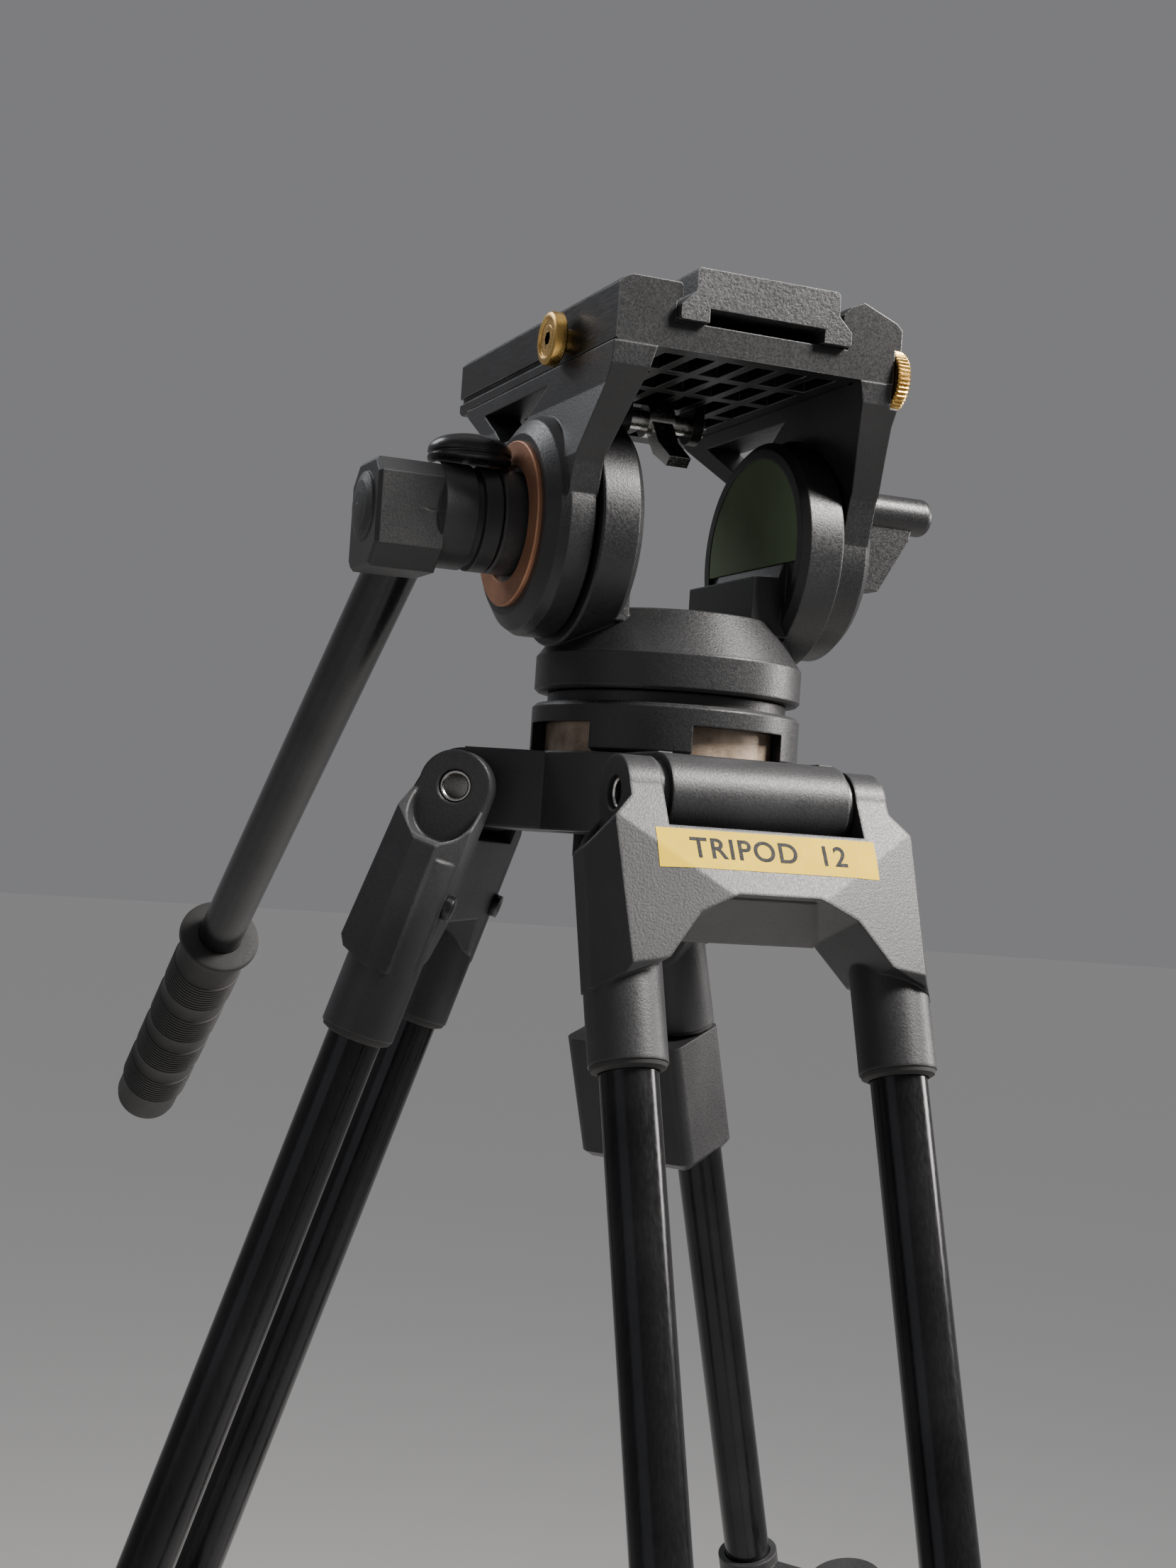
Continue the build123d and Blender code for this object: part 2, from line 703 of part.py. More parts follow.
# ================================================================ pan body with its yoke
# Turned base under two upright discs, cast in one piece.
foot_inner = {1: 18.0, -1: 27.0}
foot_flat_end = 27.0
foot_half_depth = 25.0
foot_top = pin_height + 78.5
foot_rise = 5.0
foot_root = 3.0
with BuildPart() as pan_body:
    add(
        turned(
            [
                (spindle_radius + running_gap, pan_bottom),
                (pan_radius - 1, pan_bottom),
                (pan_radius, pan_bottom + 1),
                (pan_radius, pan_shoulder - 0.6),
                (pan_radius - 0.5, pan_shoulder),
                (pan_top_radius + 0.6, pan_top - 0.4),
                (pan_top_radius - 0.6, pan_top),
                (0, pan_top),
                (0, spindle_top + face_gap),
                (spindle_radius + running_gap, spindle_top + face_gap),
            ]
        )
    )
    for side in (1, -1):
        disc_width = yoke_disc_outer - yoke_disc_inner
        disc_middle = (yoke_disc_outer + yoke_disc_inner) / 2
        disc_place = Location((side * disc_middle, 0, tilt_height), (0, side * 90, 0))
        with BuildPart(mode=Mode.PRIVATE) as disc:
            Cylinder(yoke_disc_radius, disc_width)
            chamfer(disc.edges().group_by(Axis.Z)[0], 2.4)
            chamfer(disc.edges().group_by(Axis.Z)[-1], 0.6)
            with Locations((0, 0, -disc_width / 2 + cover_depth / 2)):
                Cylinder(cover_radius + seat_gap, cover_depth, mode=Mode.SUBTRACT)
        add(disc.part.moved(disc_place))
        with BuildSketch(Plane.XZ.offset(-foot_half_depth)):
            with BuildLine():
                Polyline(
                    (side * foot_inner[side], pan_top - foot_rise),
                    (side * foot_inner[side], foot_top - 0.5),
                    (side * (foot_flat_end + 0.5), foot_top),
                    (side * yoke_disc_inner, foot_top + foot_rise),
                    (side * (yoke_disc_inner + foot_root), foot_top + foot_rise),
                    (side * (yoke_disc_inner + foot_root), pan_top - foot_rise),
                    close=True,
                )
            make_face()
        extrude(amount=2 * foot_half_depth)
    axle_seat_length = 2 * (yoke_disc_outer - axle_root)
    for side in (1, -1):
        with Locations(Location((side * yoke_disc_outer, 0, tilt_height), (0, 90, 0))):
            Cylinder(axle_radius + seat_gap, axle_seat_length, mode=Mode.SUBTRACT)
    with Locations(Location((0, pan_radius, pan_lock_height), (90, 0, 0))):
        Cylinder(pan_lock_stem_radius + running_gap, 26, mode=Mode.SUBTRACT)
pan_body.part.label = "pan_body"
export_step(pan_body.part, "parts/pan_body.step")

# Flat cover discs let into the inner faces of the yoke.
with BuildPart() as yoke_covers:
    for side in (1, -1):
        cover_x = side * (yoke_disc_inner + cover_depth / 2)
        with Locations(Location((cover_x, 0, tilt_height), (0, 90, 0))):
            Cylinder(cover_radius, cover_depth - 0.4)
    for side in (1, -1):
        with BuildSketch(Plane.XZ.offset(-cover_radius - 1)):
            with Locations((side * yoke_disc_inner, foot_top + foot_rise + face_gap)):
                Rectangle(4 * foot_root, cover_radius, align=(Align.CENTER, Align.MAX))
        extrude(amount=2 * cover_radius + 2, mode=Mode.SUBTRACT)
yoke_covers.part.label = "yoke_covers"
export_step(yoke_covers.part, "parts/yoke_covers.step")

# Stub axles fixed in the yoke; the tilting housings turn on them.
with BuildPart() as tilt_axles:
    for side in (1, -1):
        with Locations(Location((side * (axle_root + axle_tip) / 2, 0, tilt_height), (0, 90, 0))):
            Cylinder(axle_radius, axle_tip - axle_root)
tilt_axles.part.label = "tilt_axles"
export_step(tilt_axles.part, "parts/tilt_axles.step")


# ================================================================ tilting housings and arms
def turned_on_tilt_axis(profile, side):
    # A solid of revolution about the tilt axis from (distance out, radius) points.
    with BuildPart() as solid:
        with BuildSketch(Plane.XY):
            with BuildLine():
                Polyline(*[(side * out, radius) for out, radius in profile], close=True)
            make_face()
        revolve(axis=Axis.X)
    return solid.part.moved(Location((0, 0, tilt_height)))


def dial_hole():
    # The dial's pocket and the bore for its stem, cut in the platform and in the right arm.
    with BuildPart() as hole:
        with BuildSketch(Plane.YZ.offset(platform_half_width - dial_pocket_depth)):
            with Locations((dial_y, dial_height)):
                Circle(dial_pocket_radius)
        extrude(amount=2 * dial_width)
        with Locations(Location((platform_half_width, dial_y, dial_height), (0, 90, 0))):
            Cylinder(dial_stem_radius + running_gap, 30)
    return hole.part


def tilt_arm(side):
    # Forked arm from a housing up to the platform, with a window behind its front rib.
    rib_top = (platform_half_width + arm_proud, arm_inner)
    rib_foot = (housing_shoulder - 0.3, housing_inner)
    top = platform_bottom
    with BuildPart() as arm:
        with BuildSketch(Plane.YZ.offset(side * 30)):
            with BuildLine():
                Polyline(
                    (platform_front, top),
                    (platform_front + 1, top - 7),
                    (platform_front + 10, top - 22),
                    (platform_front + 18, top - 36),
                    (-housing_radius + 2, tilt_height + 2),
                    (-10, tilt_height - 6),
                    (20, tilt_height + 8),
                    (31, tilt_height + 21),
                    (45, tilt_height + 31),
                    (platform_rear - 12, top - 3),
                    (platform_rear - 10, top),
                    close=True,
                )
            make_face()
            with BuildLine():
                Polyline(
                    (-2, top - 5),
                    (platform_rear - 30, top - 5),
                    (platform_rear - 36, top - 9),
                    (37, top - 19),
                    (27, top - 19),
                    close=True,
                )
            make_face(mode=Mode.SUBTRACT)
        extrude(amount=side * 30)
        with BuildSketch(Plane.XZ.offset(-platform_rear)):
            with BuildLine():
                Polyline(
                    (side * rib_top[0], top),
                    (side * rib_top[1], top),
                    (side * rib_foot[1], top - 34),
                    (side * rib_foot[1], tilt_height - 10),
                    (side * rib_foot[0], tilt_height - 10),
                    (side * rib_foot[0], top - 34),
                    (side * rib_top[0], top - 13),
                    close=True,
                )
            make_face()
        extrude(amount=2 * platform_rear, mode=Mode.INTERSECT)
        # the part inside the housing's face stays clear of the yoke disc
        disc_sweep = yoke_disc_radius + 1.5
        with Locations(Location((side * housing_inner / 2, 0, tilt_height), (0, 90, 0))):
            Cylinder(disc_sweep, housing_inner, mode=Mode.SUBTRACT)
        bore_length = 2 * (axle_tip + face_gap - housing_inner)
        with Locations(Location((side * housing_inner, 0, tilt_height), (0, 90, 0))):
            Cylinder(axle_radius + running_gap, bore_length, mode=Mode.SUBTRACT)
        if side > 0:
            add(dial_hole(), mode=Mode.SUBTRACT)
    return arm.part


axle_bore = axle_radius + running_gap
with BuildPart() as left_housing:
    add(
        turned_on_tilt_axis(
            [
                (housing_inner, axle_bore),
                (housing_inner, housing_radius - 0.8),
                (housing_inner + 0.8, housing_radius),
                (housing_shoulder - 1.5, housing_radius),
                (housing_shoulder + 1.5, housing_radius - 1.6),
                (housing_face, housing_face_radius),
                (housing_face, 0),
                (axle_tip + face_gap, 0),
                (axle_tip + face_gap, axle_bore),
            ],
            -1,
        )
    )
    add(tilt_arm(-1))
left_housing.part.label = "left_housing"
export_step(left_housing.part, "parts/left_housing.step")

with BuildPart() as right_housing:
    add(
        turned_on_tilt_axis(
            [
                (housing_inner, axle_bore),
                (housing_inner, right_disc_radius - 0.8),
                (housing_inner + 0.8, right_disc_radius),
                (right_disc_face - 3, right_disc_radius),
                (right_disc_face, right_disc_radius - 3),
                (right_disc_face, 0),
                (axle_tip + face_gap, 0),
                (axle_tip + face_gap, axle_bore),
            ],
            1,
        )
    )
    add(tilt_arm(1))
    with Locations(Location((right_disc_face, 0, tilt_lock_height), (0, 90, 0))):
        Cylinder(tilt_lock_stem_radius + running_gap, 18, mode=Mode.SUBTRACT)
right_housing.part.label = "right_housing"
export_step(right_housing.part, "parts/right_housing.step")

# Bronze friction washer round the hub.
with BuildPart() as bronze_washer:
    add(
        turned_on_tilt_axis(
            [
                (housing_face, washer_inner_radius),
                (housing_face, washer_outer_radius),
                (housing_face + washer_thickness - 0.4, washer_outer_radius),
                (housing_face + washer_thickness, washer_outer_radius - 0.4),
                (housing_face + washer_thickness, washer_inner_radius),
            ],
            -1,
        )
    )
bronze_washer.part.label = "bronze_washer"
export_step(bronze_washer.part, "parts/bronze_washer.step")

# Hub that carries the handle's toothed joint.
with BuildPart() as handle_hub:
    add(
        turned_on_tilt_axis(
            [
                (housing_face, 0),
                (housing_face, hub_radius),
                (hub_end - 0.6, hub_radius),
                (hub_end, hub_radius - 0.6),
                (hub_end, 0),
            ],
            -1,
        )
    )
handle_hub.part.label = "handle_hub"
export_step(handle_hub.part, "parts/handle_hub.step")

# ================================================================ pan handle
bar_direction = Vector(0, cos(radians(bar_angle)), -sin(radians(bar_angle)))
bar_plane = Plane(origin=(-bar_offset, 0, tilt_height), x_dir=(1, 0, 0), z_dir=bar_direction)

with BuildPart() as handle_clamp:
    add(
        turned_on_tilt_axis(
            [
                (rosette_start, 0),
                (rosette_start, hub_radius - 0.6),
                (rosette_start + 0.6, hub_radius),
                (groove_start, hub_radius),
                (groove_start + 0.6, hub_radius - groove_depth),
                (groove_start + groove_width - 0.6, hub_radius - groove_depth),
                (groove_start + groove_width, hub_radius),
                (block_start, hub_radius),
                (block_start + 2, block_rise - 0.5),
                (block_start + 2, 0),
            ],
            -1,
        )
    )
    with BuildSketch(Plane.YZ.offset(-block_end)):
        with BuildLine():
            Polyline(
                (-block_half_depth, tilt_height - block_drop + 7),
                (-block_half_depth + 7, tilt_height - block_drop),
                (block_half_depth - 3, tilt_height - block_drop),
                (block_half_depth, tilt_height - block_drop + 3),
                (block_half_depth, tilt_height + block_rise - 7),
                (block_half_depth - 7, tilt_height + block_rise),
                (-block_half_depth + 5, tilt_height + block_rise),
                (-block_half_depth, tilt_height + block_rise - 5),
                close=True,
            )
        make_face()
    extrude(amount=block_end - block_start)
    chamfer(handle_clamp.faces().sort_by(Axis.X)[0].edges(), 1.2)
    add(
        turned_on_tilt_axis(
            [
                (block_end - 1, 0),
                (block_end - 1, cap_radius),
                (block_end + 0.3 * cap_rise, 0.95 * cap_radius),
                (block_end + 0.7 * cap_rise, 0.7 * cap_radius),
                (block_end + 0.93 * cap_rise, 0.37 * cap_radius),
                (block_end + cap_rise, 0),
            ],
            -1,
        )
    )
    with BuildSketch(bar_plane.offset(bar_start)):
        Circle(bar_radius + seat_gap)
    extrude(amount=socket_length, mode=Mode.SUBTRACT)
    with Locations((-lock_knob_x, 0, tilt_height + hub_radius - 2)):
        Cylinder(lock_knob_stem_radius + running_gap, 8, mode=Mode.SUBTRACT)
handle_clamp.part.label = "handle_clamp"
export_step(handle_clamp.part, "parts/handle_clamp.step")

# Domed knob that locks the handle's angle.
knob_base = tilt_height + hub_radius + face_gap
with BuildPart() as handle_lock_knob:
    with BuildSketch(Plane.XZ):
        with BuildLine():
            Polyline(
                (0, knob_base),
                (lock_knob_radius - 1, knob_base),
                (lock_knob_radius, knob_base + 1),
                (lock_knob_radius, knob_base + 0.4 * lock_knob_height),
                (0.92 * lock_knob_radius, knob_base + 0.64 * lock_knob_height),
                (0.7 * lock_knob_radius, knob_base + 0.86 * lock_knob_height),
                (0.38 * lock_knob_radius, knob_base + 0.97 * lock_knob_height),
                (0, knob_base + lock_knob_height),
                close=True,
            )
        make_face()
    revolve(axis=Axis.Z)
    with Locations((0, 0, knob_base - 1)):
        Cylinder(lock_knob_stem_radius, 5)
lock_knob = handle_lock_knob.part.moved(Location((-lock_knob_x, 0, 0)))
lock_knob.label = "handle_lock_knob"
export_step(lock_knob, "parts/handle_lock_knob.step")

# Aluminium bar, from its socket in the clamp into the grip.
with BuildPart() as pan_bar:
    with BuildSketch(bar_plane.offset(bar_start)):
        Circle(bar_radius)
        Circle(bar_radius - bar_wall, mode=Mode.SUBTRACT)
    extrude(amount=grip_end - bar_in_grip - bar_start)
pan_bar.part.label = "pan_bar"
export_step(pan_bar.part, "parts/pan_bar.step")

# Rubber grip with a flange at the top and four raised bands.
with BuildPart() as grip:
    with BuildSketch(bar_plane.offset(grip_start)):
        Circle(grip_radius)
    extrude(amount=grip_end - grip_start)
    chamfer(grip.faces().sort_by(Axis.Y)[-1].edges(), 5)
    with BuildSketch(bar_plane.offset(grip_start)):
        Circle(grip_flange_radius)
    extrude(amount=4)
    for band in range(grip_bands):
        with BuildSketch(bar_plane.offset(grip_start + 22 + grip_band_pitch * band)):
            Circle(grip_band_radius)
        extrude(amount=grip_band_length)
    with BuildSketch(bar_plane.offset(grip_start)):
        Circle(bar_radius + seat_gap)
    extrude(amount=grip_end - bar_in_grip - grip_start, mode=Mode.SUBTRACT)
grip.part.label = "grip"
export_step(grip.part, "parts/grip.step")

# ================================================================ tilt lock lever
with BuildPart() as tilt_lock_lever:
    with BuildSketch(Plane.YZ.offset(right_disc_face + face_gap)):
        with Locations((0, tilt_lock_height)):
            Circle(6.8)
    extrude(amount=tilt_lock_end - right_disc_face - face_gap)
    fillet(tilt_lock_lever.faces().sort_by(Axis.X)[-1].edges(), 3.5)
    with BuildSketch(Plane.XZ.offset(-4)):
        with BuildLine():
            Polyline(
                (right_disc_face + 6, tilt_lock_height),
                (tilt_lock_end - 7, tilt_lock_height),
                (tilt_lock_end - 9, tilt_lock_height - 9),
                (right_disc_face + 20, tilt_lock_height - 29),
                (right_disc_face + 12, tilt_lock_height - 29),
                (right_disc_face + 6, tilt_lock_height - 12),
                close=True,
            )
        make_face()
    extrude(amount=8)
    with BuildSketch(Plane.YZ.offset(right_disc_face - 8)):
        with Locations((0, tilt_lock_height)):
            Circle(tilt_lock_stem_radius)
    extrude(amount=12)
tilt_lock_lever.part.label = "tilt_lock_lever"
export_step(tilt_lock_lever.part, "parts/tilt_lock_lever.step")

# ================================================================ platform
# Extruded rail platform: a channel for the plate between two pitched rails.
rail_shoulder = channel_floor + 7.5
with BuildPart() as platform:
    with BuildSketch(Plane.XZ.offset(-platform_rear)):
        with BuildLine():
            Polyline(
                (0, platform_bottom),
                (platform_half_width - 1, platform_bottom),
                (platform_half_width, platform_bottom + 1),
                (platform_half_width, rail_shoulder + 2),
                (platform_half_width - 2.1, rail_shoulder + 4),
                (rail_apex_x, rail_apex_height),
                (rail_apex_x - 5, rail_apex_height - 2.2),
                (lip_half_width, rail_apex_height - 5),
                (lip_half_width, channel_floor + 8.0),
                (channel_half_width, channel_floor + 6.0),
                (channel_half_width, channel_floor),
                (0, channel_floor),
                close=True,
            )
        make_face()
        mirror(about=Plane.YZ)
    extrude(amount=platform_rear - platform_front)
    # rails end in bevels at the back
    rear_bevel = Plane(
        origin=(0, platform_rear, platform_bottom + 9), z_dir=(0, 0.75, 0.66)
    )
    with BuildSketch(rear_bevel):
        Rectangle(4 * platform_half_width, 60)
    extrude(amount=40, mode=Mode.SUBTRACT)
    # the left rail is cut down towards the front
    with BuildSketch(Plane.YZ.offset(-platform_half_width)):
        with BuildLine():
            Polyline(
                (platform_front, left_rail_front),
                (left_rail_bevel_end, rail_apex_height),
                (left_rail_bevel_end, rail_apex_height + 1),
                (platform_front, rail_apex_height + 1),
                close=True,
            )
        make_face()
    extrude(amount=platform_half_width, mode=Mode.SUBTRACT)
    # long grooves along both outer sides
    for side in (1, -1):
        with BuildSketch(Plane.XZ.offset(-platform_rear)):
            with Locations((side * platform_half_width, platform_bottom + 5)):
                Rectangle(2.4, 2.2)
        extrude(amount=platform_rear - platform_front - 60, mode=Mode.SUBTRACT)
    # ribbed underside
    with BuildSketch(Plane.XY.offset(platform_bottom)):
        with Locations((0, platform_front + 18 + rib_pitch[1] * (rib_rows - 1) / 2)):
            with GridLocations(rib_pitch[0], rib_pitch[1], rib_columns, rib_rows):
                Rectangle(rib_pocket[0], rib_pocket[1])
    extrude(amount=rib_pocket[2], mode=Mode.SUBTRACT)
    # bores for the dial and the button's stem
    add(dial_hole(), mode=Mode.SUBTRACT)
    with Locations(Location((-platform_half_width, button_y, button_height), (0, 90, 0))):
        Cylinder(button_stem_radius + running_gap, 26, mode=Mode.SUBTRACT)
    # two lugs under the platform hold the release shaft
    for side in (1, -1):
        with BuildSketch(Plane.YZ.offset(side * lug_start)):
            with Locations((release_y, release_height)):
                Circle(release_radius + 3)
            with Locations((release_y, release_height + 5)):
                Rectangle(2 * release_radius + 6, 10)
        extrude(amount=side * lug_width)
    with Locations(Location((0, release_y, release_height), (0, 90, 0))):
        Cylinder(release_radius + running_gap, 2 * release_half_length + 2, mode=Mode.SUBTRACT)
platform.part.label = "platform"
export_step(platform.part, "parts/platform.step")

# ================================================================ quick-release plate
plate_foot = channel_floor + slide_gap
with BuildPart() as quick_plate:
    with BuildSketch(Plane.XZ.offset(-plate_front - plate_length)):
        with BuildLine():
            Polyline(
                (0, plate_foot + 4.5),
                (plate_flare_half_width - 10, plate_foot + 4.5),
                (plate_flare_half_width - 10, plate_foot),
                (plate_flare_half_width - 0.6, plate_foot),
                (plate_flare_half_width, plate_foot + 0.6),
                (plate_flare_half_width, plate_foot + 4.6),
                (plate_half_width, plate_foot + 9.4),
                (plate_half_width, plate_top - 1),
                (plate_half_width - 1, plate_top),
                (0, plate_top),
                close=True,
            )
        make_face()
        mirror(about=Plane.YZ)
    extrude(amount=plate_length)
    # slot that the camera screw slides in, stepped for its head
    with BuildSketch(Plane.XY.offset(plate_foot)):
        with Locations((0, screw_y)):
            SlotOverall(screw_head_slot_length, screw_head_slot_width, rotation=90)
    extrude(amount=plate_top - plate_web - plate_foot, mode=Mode.SUBTRACT)
    with BuildSketch(Plane.XY.offset(plate_foot)):
        with Locations((0, screw_y)):
            SlotOverall(screw_slot_length, screw_slot_width, rotation=90)
    extrude(amount=plate_top - plate_foot, mode=Mode.SUBTRACT)
quick_plate.part.label = "quick_plate"
export_step(quick_plate.part, "parts/quick_plate.step")

# Rubber strips on the plate, either side of the screw slot.
pad_width = 15.0
with BuildPart() as plate_pads:
    with BuildSketch(Plane.XY.offset(plate_top)):
        for side in (1, -1):
            with Locations((side * 14.5, plate_front + plate_length / 2)):
                RectangleRounded(pad_width, plate_length - 10, 3)
    extrude(amount=pad_thickness)
plate_pads.part.label = "plate_pads"
export_step(plate_pads.part, "parts/plate_pads.step")

# Camera screw with a slotted head, free to turn and captive in the plate.
screw_head_top = plate_top - plate_web - slide_gap
with BuildPart() as camera_screw:
    with Locations((0, screw_y, screw_head_top - screw_head_height / 2)):
        Cylinder(screw_head_radius, screw_head_height)
    with Locations((0, screw_y, (screw_head_top + thread_start) / 2)):
        Cylinder(screw_shank_radius, thread_start - screw_head_top)
    with Locations((0, screw_y, (thread_start + screw_tip) / 2)):
        Cylinder(screw_radius, screw_tip - thread_start)
    chamfer(camera_screw.edges().group_by(Axis.Z)[-1], screw_chamfer)
    with Locations((0, screw_y, screw_head_top - screw_head_height)):
        Box(2 * screw_head_radius, 1.6, 2.4, mode=Mode.SUBTRACT)
camera_screw.part.label = "camera_screw"
export_step(camera_screw.part, "parts/camera_screw.step")

# ================================================================ brass controls
# Knurled dial on the right that clamps the plate.
with BuildPart() as plate_dial:
    with BuildSketch(Plane.YZ.offset(dial_start)):
        with Locations((dial_y, dial_height)):
            Circle(dial_radius)
            with PolarLocations(dial_radius + 0.5, dial_knurls):
                Circle(dial_knurl_radius, mode=Mode.SUBTRACT)
    extrude(amount=dial_width)
    with BuildSketch(Plane.YZ.offset(dial_start - 9)):
        with Locations((dial_y, dial_height)):
            Circle(dial_stem_radius)
    extrude(amount=10)
plate_dial.part.label = "plate_dial"
export_step(plate_dial.part, "parts/plate_dial.step")

# Brass push button on the left that frees the plate's safety catch.
with BuildPart() as plate_button:
    with BuildSketch(Plane.YZ.offset(-button_start)):
        with Locations((button_y, button_height)):
            Circle(button_radius)
    extrude(amount=-button_thickness)
    chamfer(plate_button.faces().sort_by(Axis.X)[0].edges(), 0.8)
    with BuildSketch(Plane.YZ.offset(-button_start - button_thickness)):
        with Locations((button_y, button_height)):
            RegularPolygon(button_hex, 6)
    extrude(amount=3, mode=Mode.SUBTRACT)
    with BuildSketch(Plane.YZ.offset(-button_start)):
        with Locations((button_y, button_height)):
            Circle(button_stem_radius)
    extrude(amount=9)
plate_button.part.label = "plate_button"
export_step(plate_button.part, "parts/plate_button.step")

# Shaft and finger lever under the platform that open the plate's clamp.
with BuildPart() as release_lever:
    with Locations(Location((0, release_y, release_height), (0, 90, 0))):
        Cylinder(release_radius, 2 * release_half_length)
        Cylinder(release_radius + 2.5, 10)
    with BuildSketch(Plane.YZ.offset(-4)):
        with BuildLine():
            Polyline(
                (release_y - 5, release_height),
                (release_y + 3, release_height),
                (release_y - 8, release_height - 13),
                (release_y - 20, release_height - 19),
                (release_y - 23, release_height - 16),
                (release_y - 12, release_height - 9),
                close=True,
            )
        make_face()
    extrude(amount=8)
release_lever.part.label = "release_lever"
export_step(release_lever.part, "parts/release_lever.step")

# ================================================================ small fittings
# Round bubble level on the pan body, between the yoke discs.
with BuildPart() as bubble_level:
    with Locations((0, level_y, pan_top + level_height / 2)):
        Cylinder(level_radius, level_height)
    chamfer(bubble_level.edges().group_by(Axis.Z)[-1], 0.8)
bubble_level.part.label = "bubble_level"
export_step(bubble_level.part, "parts/bubble_level.step")

# Pan lock on the back of the pan body: a stem, a drum and a wing.
with BuildPart() as pan_lock_knob:
    lock_face = pan_radius + 0.8
    with BuildSketch(Plane.XZ.offset(-lock_face)):
        with Locations((0, pan_lock_height)):
            Circle(pan_lock_radius)
    extrude(amount=-pan_lock_length)
    with BuildSketch(Plane.XZ.offset(-lock_face - 3)):
        with Locations((0, pan_lock_height)):
            SlotOverall(38, 7, rotation=35)
    extrude(amount=-pan_lock_length)
    with BuildSketch(Plane.XZ.offset(-lock_face)):
        with Locations((0, pan_lock_height)):
            Circle(pan_lock_stem_radius)
    extrude(amount=12)
pan_lock_knob.part.label = "pan_lock_knob"
export_step(pan_lock_knob.part, "parts/pan_lock_knob.step")

# Moulded tool case clipped round one tube of the right-hand leg, under its collar.
with BuildPart() as tool_case_shape:
    with BuildSketch(Plane.XZ.offset(collar_end + 3)):
        with Locations((case_centre[0], case_centre[1])):
            RectangleRounded(case_width, case_depth, 5)
    extrude(amount=case_height)
    chamfer(tool_case_shape.faces().sort_by(Axis.Y)[0].edges(), 3)
    with Locations((tube_side, -collar_end - case_height / 2, 0)):
        Cylinder(
            upper_tube_radius + seat_gap, 2 * case_height, rotation=(90, 0, 0), mode=Mode.SUBTRACT
        )
tool_case = tool_case_shape.part.moved(leg_place(leg_angles["right"]))
tool_case.label = "tool_case"
export_step(tool_case, "parts/tool_case.step")
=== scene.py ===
import json
import math

import bmesh
import bpy
from mathutils import Matrix, Vector


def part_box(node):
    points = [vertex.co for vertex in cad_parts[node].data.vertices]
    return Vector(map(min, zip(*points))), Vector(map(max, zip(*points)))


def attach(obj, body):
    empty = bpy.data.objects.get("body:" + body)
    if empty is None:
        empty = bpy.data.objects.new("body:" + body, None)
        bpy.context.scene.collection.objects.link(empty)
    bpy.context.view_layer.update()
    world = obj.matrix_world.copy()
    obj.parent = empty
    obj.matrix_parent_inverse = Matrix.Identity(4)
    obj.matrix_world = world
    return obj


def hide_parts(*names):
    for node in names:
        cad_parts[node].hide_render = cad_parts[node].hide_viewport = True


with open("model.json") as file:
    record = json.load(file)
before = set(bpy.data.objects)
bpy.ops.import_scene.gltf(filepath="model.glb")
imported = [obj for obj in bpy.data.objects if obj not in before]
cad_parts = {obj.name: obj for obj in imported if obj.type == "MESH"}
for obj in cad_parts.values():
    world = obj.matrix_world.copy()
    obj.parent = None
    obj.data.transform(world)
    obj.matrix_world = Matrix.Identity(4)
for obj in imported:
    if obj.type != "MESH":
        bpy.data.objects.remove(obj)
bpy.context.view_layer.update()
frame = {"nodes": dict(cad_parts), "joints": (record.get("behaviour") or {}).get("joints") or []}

# ------------------------------------------------------------------ camera
# Stands at the height of the crown, in front of the head and to its left, and looks a little up.
# It is tipped a few degrees about its own line of sight.
camera_place = Vector((-0.31285, -0.68075, 1.16613))
camera_yaw = math.radians(22.76)
camera_pitch = math.radians(2.15)
camera_roll = math.radians(3.7)
forward = Vector((
    math.sin(camera_yaw) * math.cos(camera_pitch),
    math.cos(camera_yaw) * math.cos(camera_pitch),
    math.sin(camera_pitch),
))
level = Vector((math.cos(camera_yaw), -math.sin(camera_yaw), 0))
upright = level.cross(forward)
right = level * math.cos(camera_roll) + upright * math.sin(camera_roll)
top = upright * math.cos(camera_roll) - level * math.sin(camera_roll)
camera_data = bpy.data.cameras.new("camera")
camera_data.lens = 49.95
camera_data.sensor_width = 36.0
camera_data.clip_start = 0.02
camera = bpy.data.objects.new("camera", camera_data)
camera.matrix_world = Matrix.Translation(camera_place) @ Matrix((right, top, -forward)).transposed().to_4x4()
bpy.context.scene.collection.objects.link(camera)
bpy.context.scene.camera = camera

# ------------------------------------------------------------------ floor and light
# A wide pale floor under a plain grey sky. Two soft lights stand high on the right, a weak one on
# the left and one behind that draws the outline; a faint sun overhead fills the shadows.
floor_mesh = bmesh.new()
bmesh.ops.create_circle(floor_mesh, cap_ends=True, segments=96, radius=40.0)
floor_data = bpy.data.meshes.new("floor")
floor_mesh.to_mesh(floor_data)
floor_mesh.free()
floor = bpy.data.objects.new("floor", floor_data)
bpy.context.scene.collection.objects.link(floor)
floor_paint = bpy.data.materials.new("floor_paint")
floor_paint.use_nodes = True
floor_shader = floor_paint.node_tree.nodes["Principled BSDF"]
floor_shader.inputs["Base Color"].default_value = (0.72, 0.71, 0.70, 1)
floor_shader.inputs["Roughness"].default_value = 0.8
floor_data.materials.append(floor_paint)

world = bpy.data.worlds.new("studio")
world.use_nodes = True
world.node_tree.nodes["Background"].inputs["Color"].default_value = (0.62, 0.62, 0.64, 1)
world.node_tree.nodes["Background"].inputs["Strength"].default_value = 0.33
bpy.context.scene.world = world

sky_light = bpy.data.lights.new("overhead", "SUN")
sky_light.energy = 0.35
sky_light.angle = math.radians(60)
bpy.context.scene.collection.objects.link(bpy.data.objects.new("overhead", sky_light))

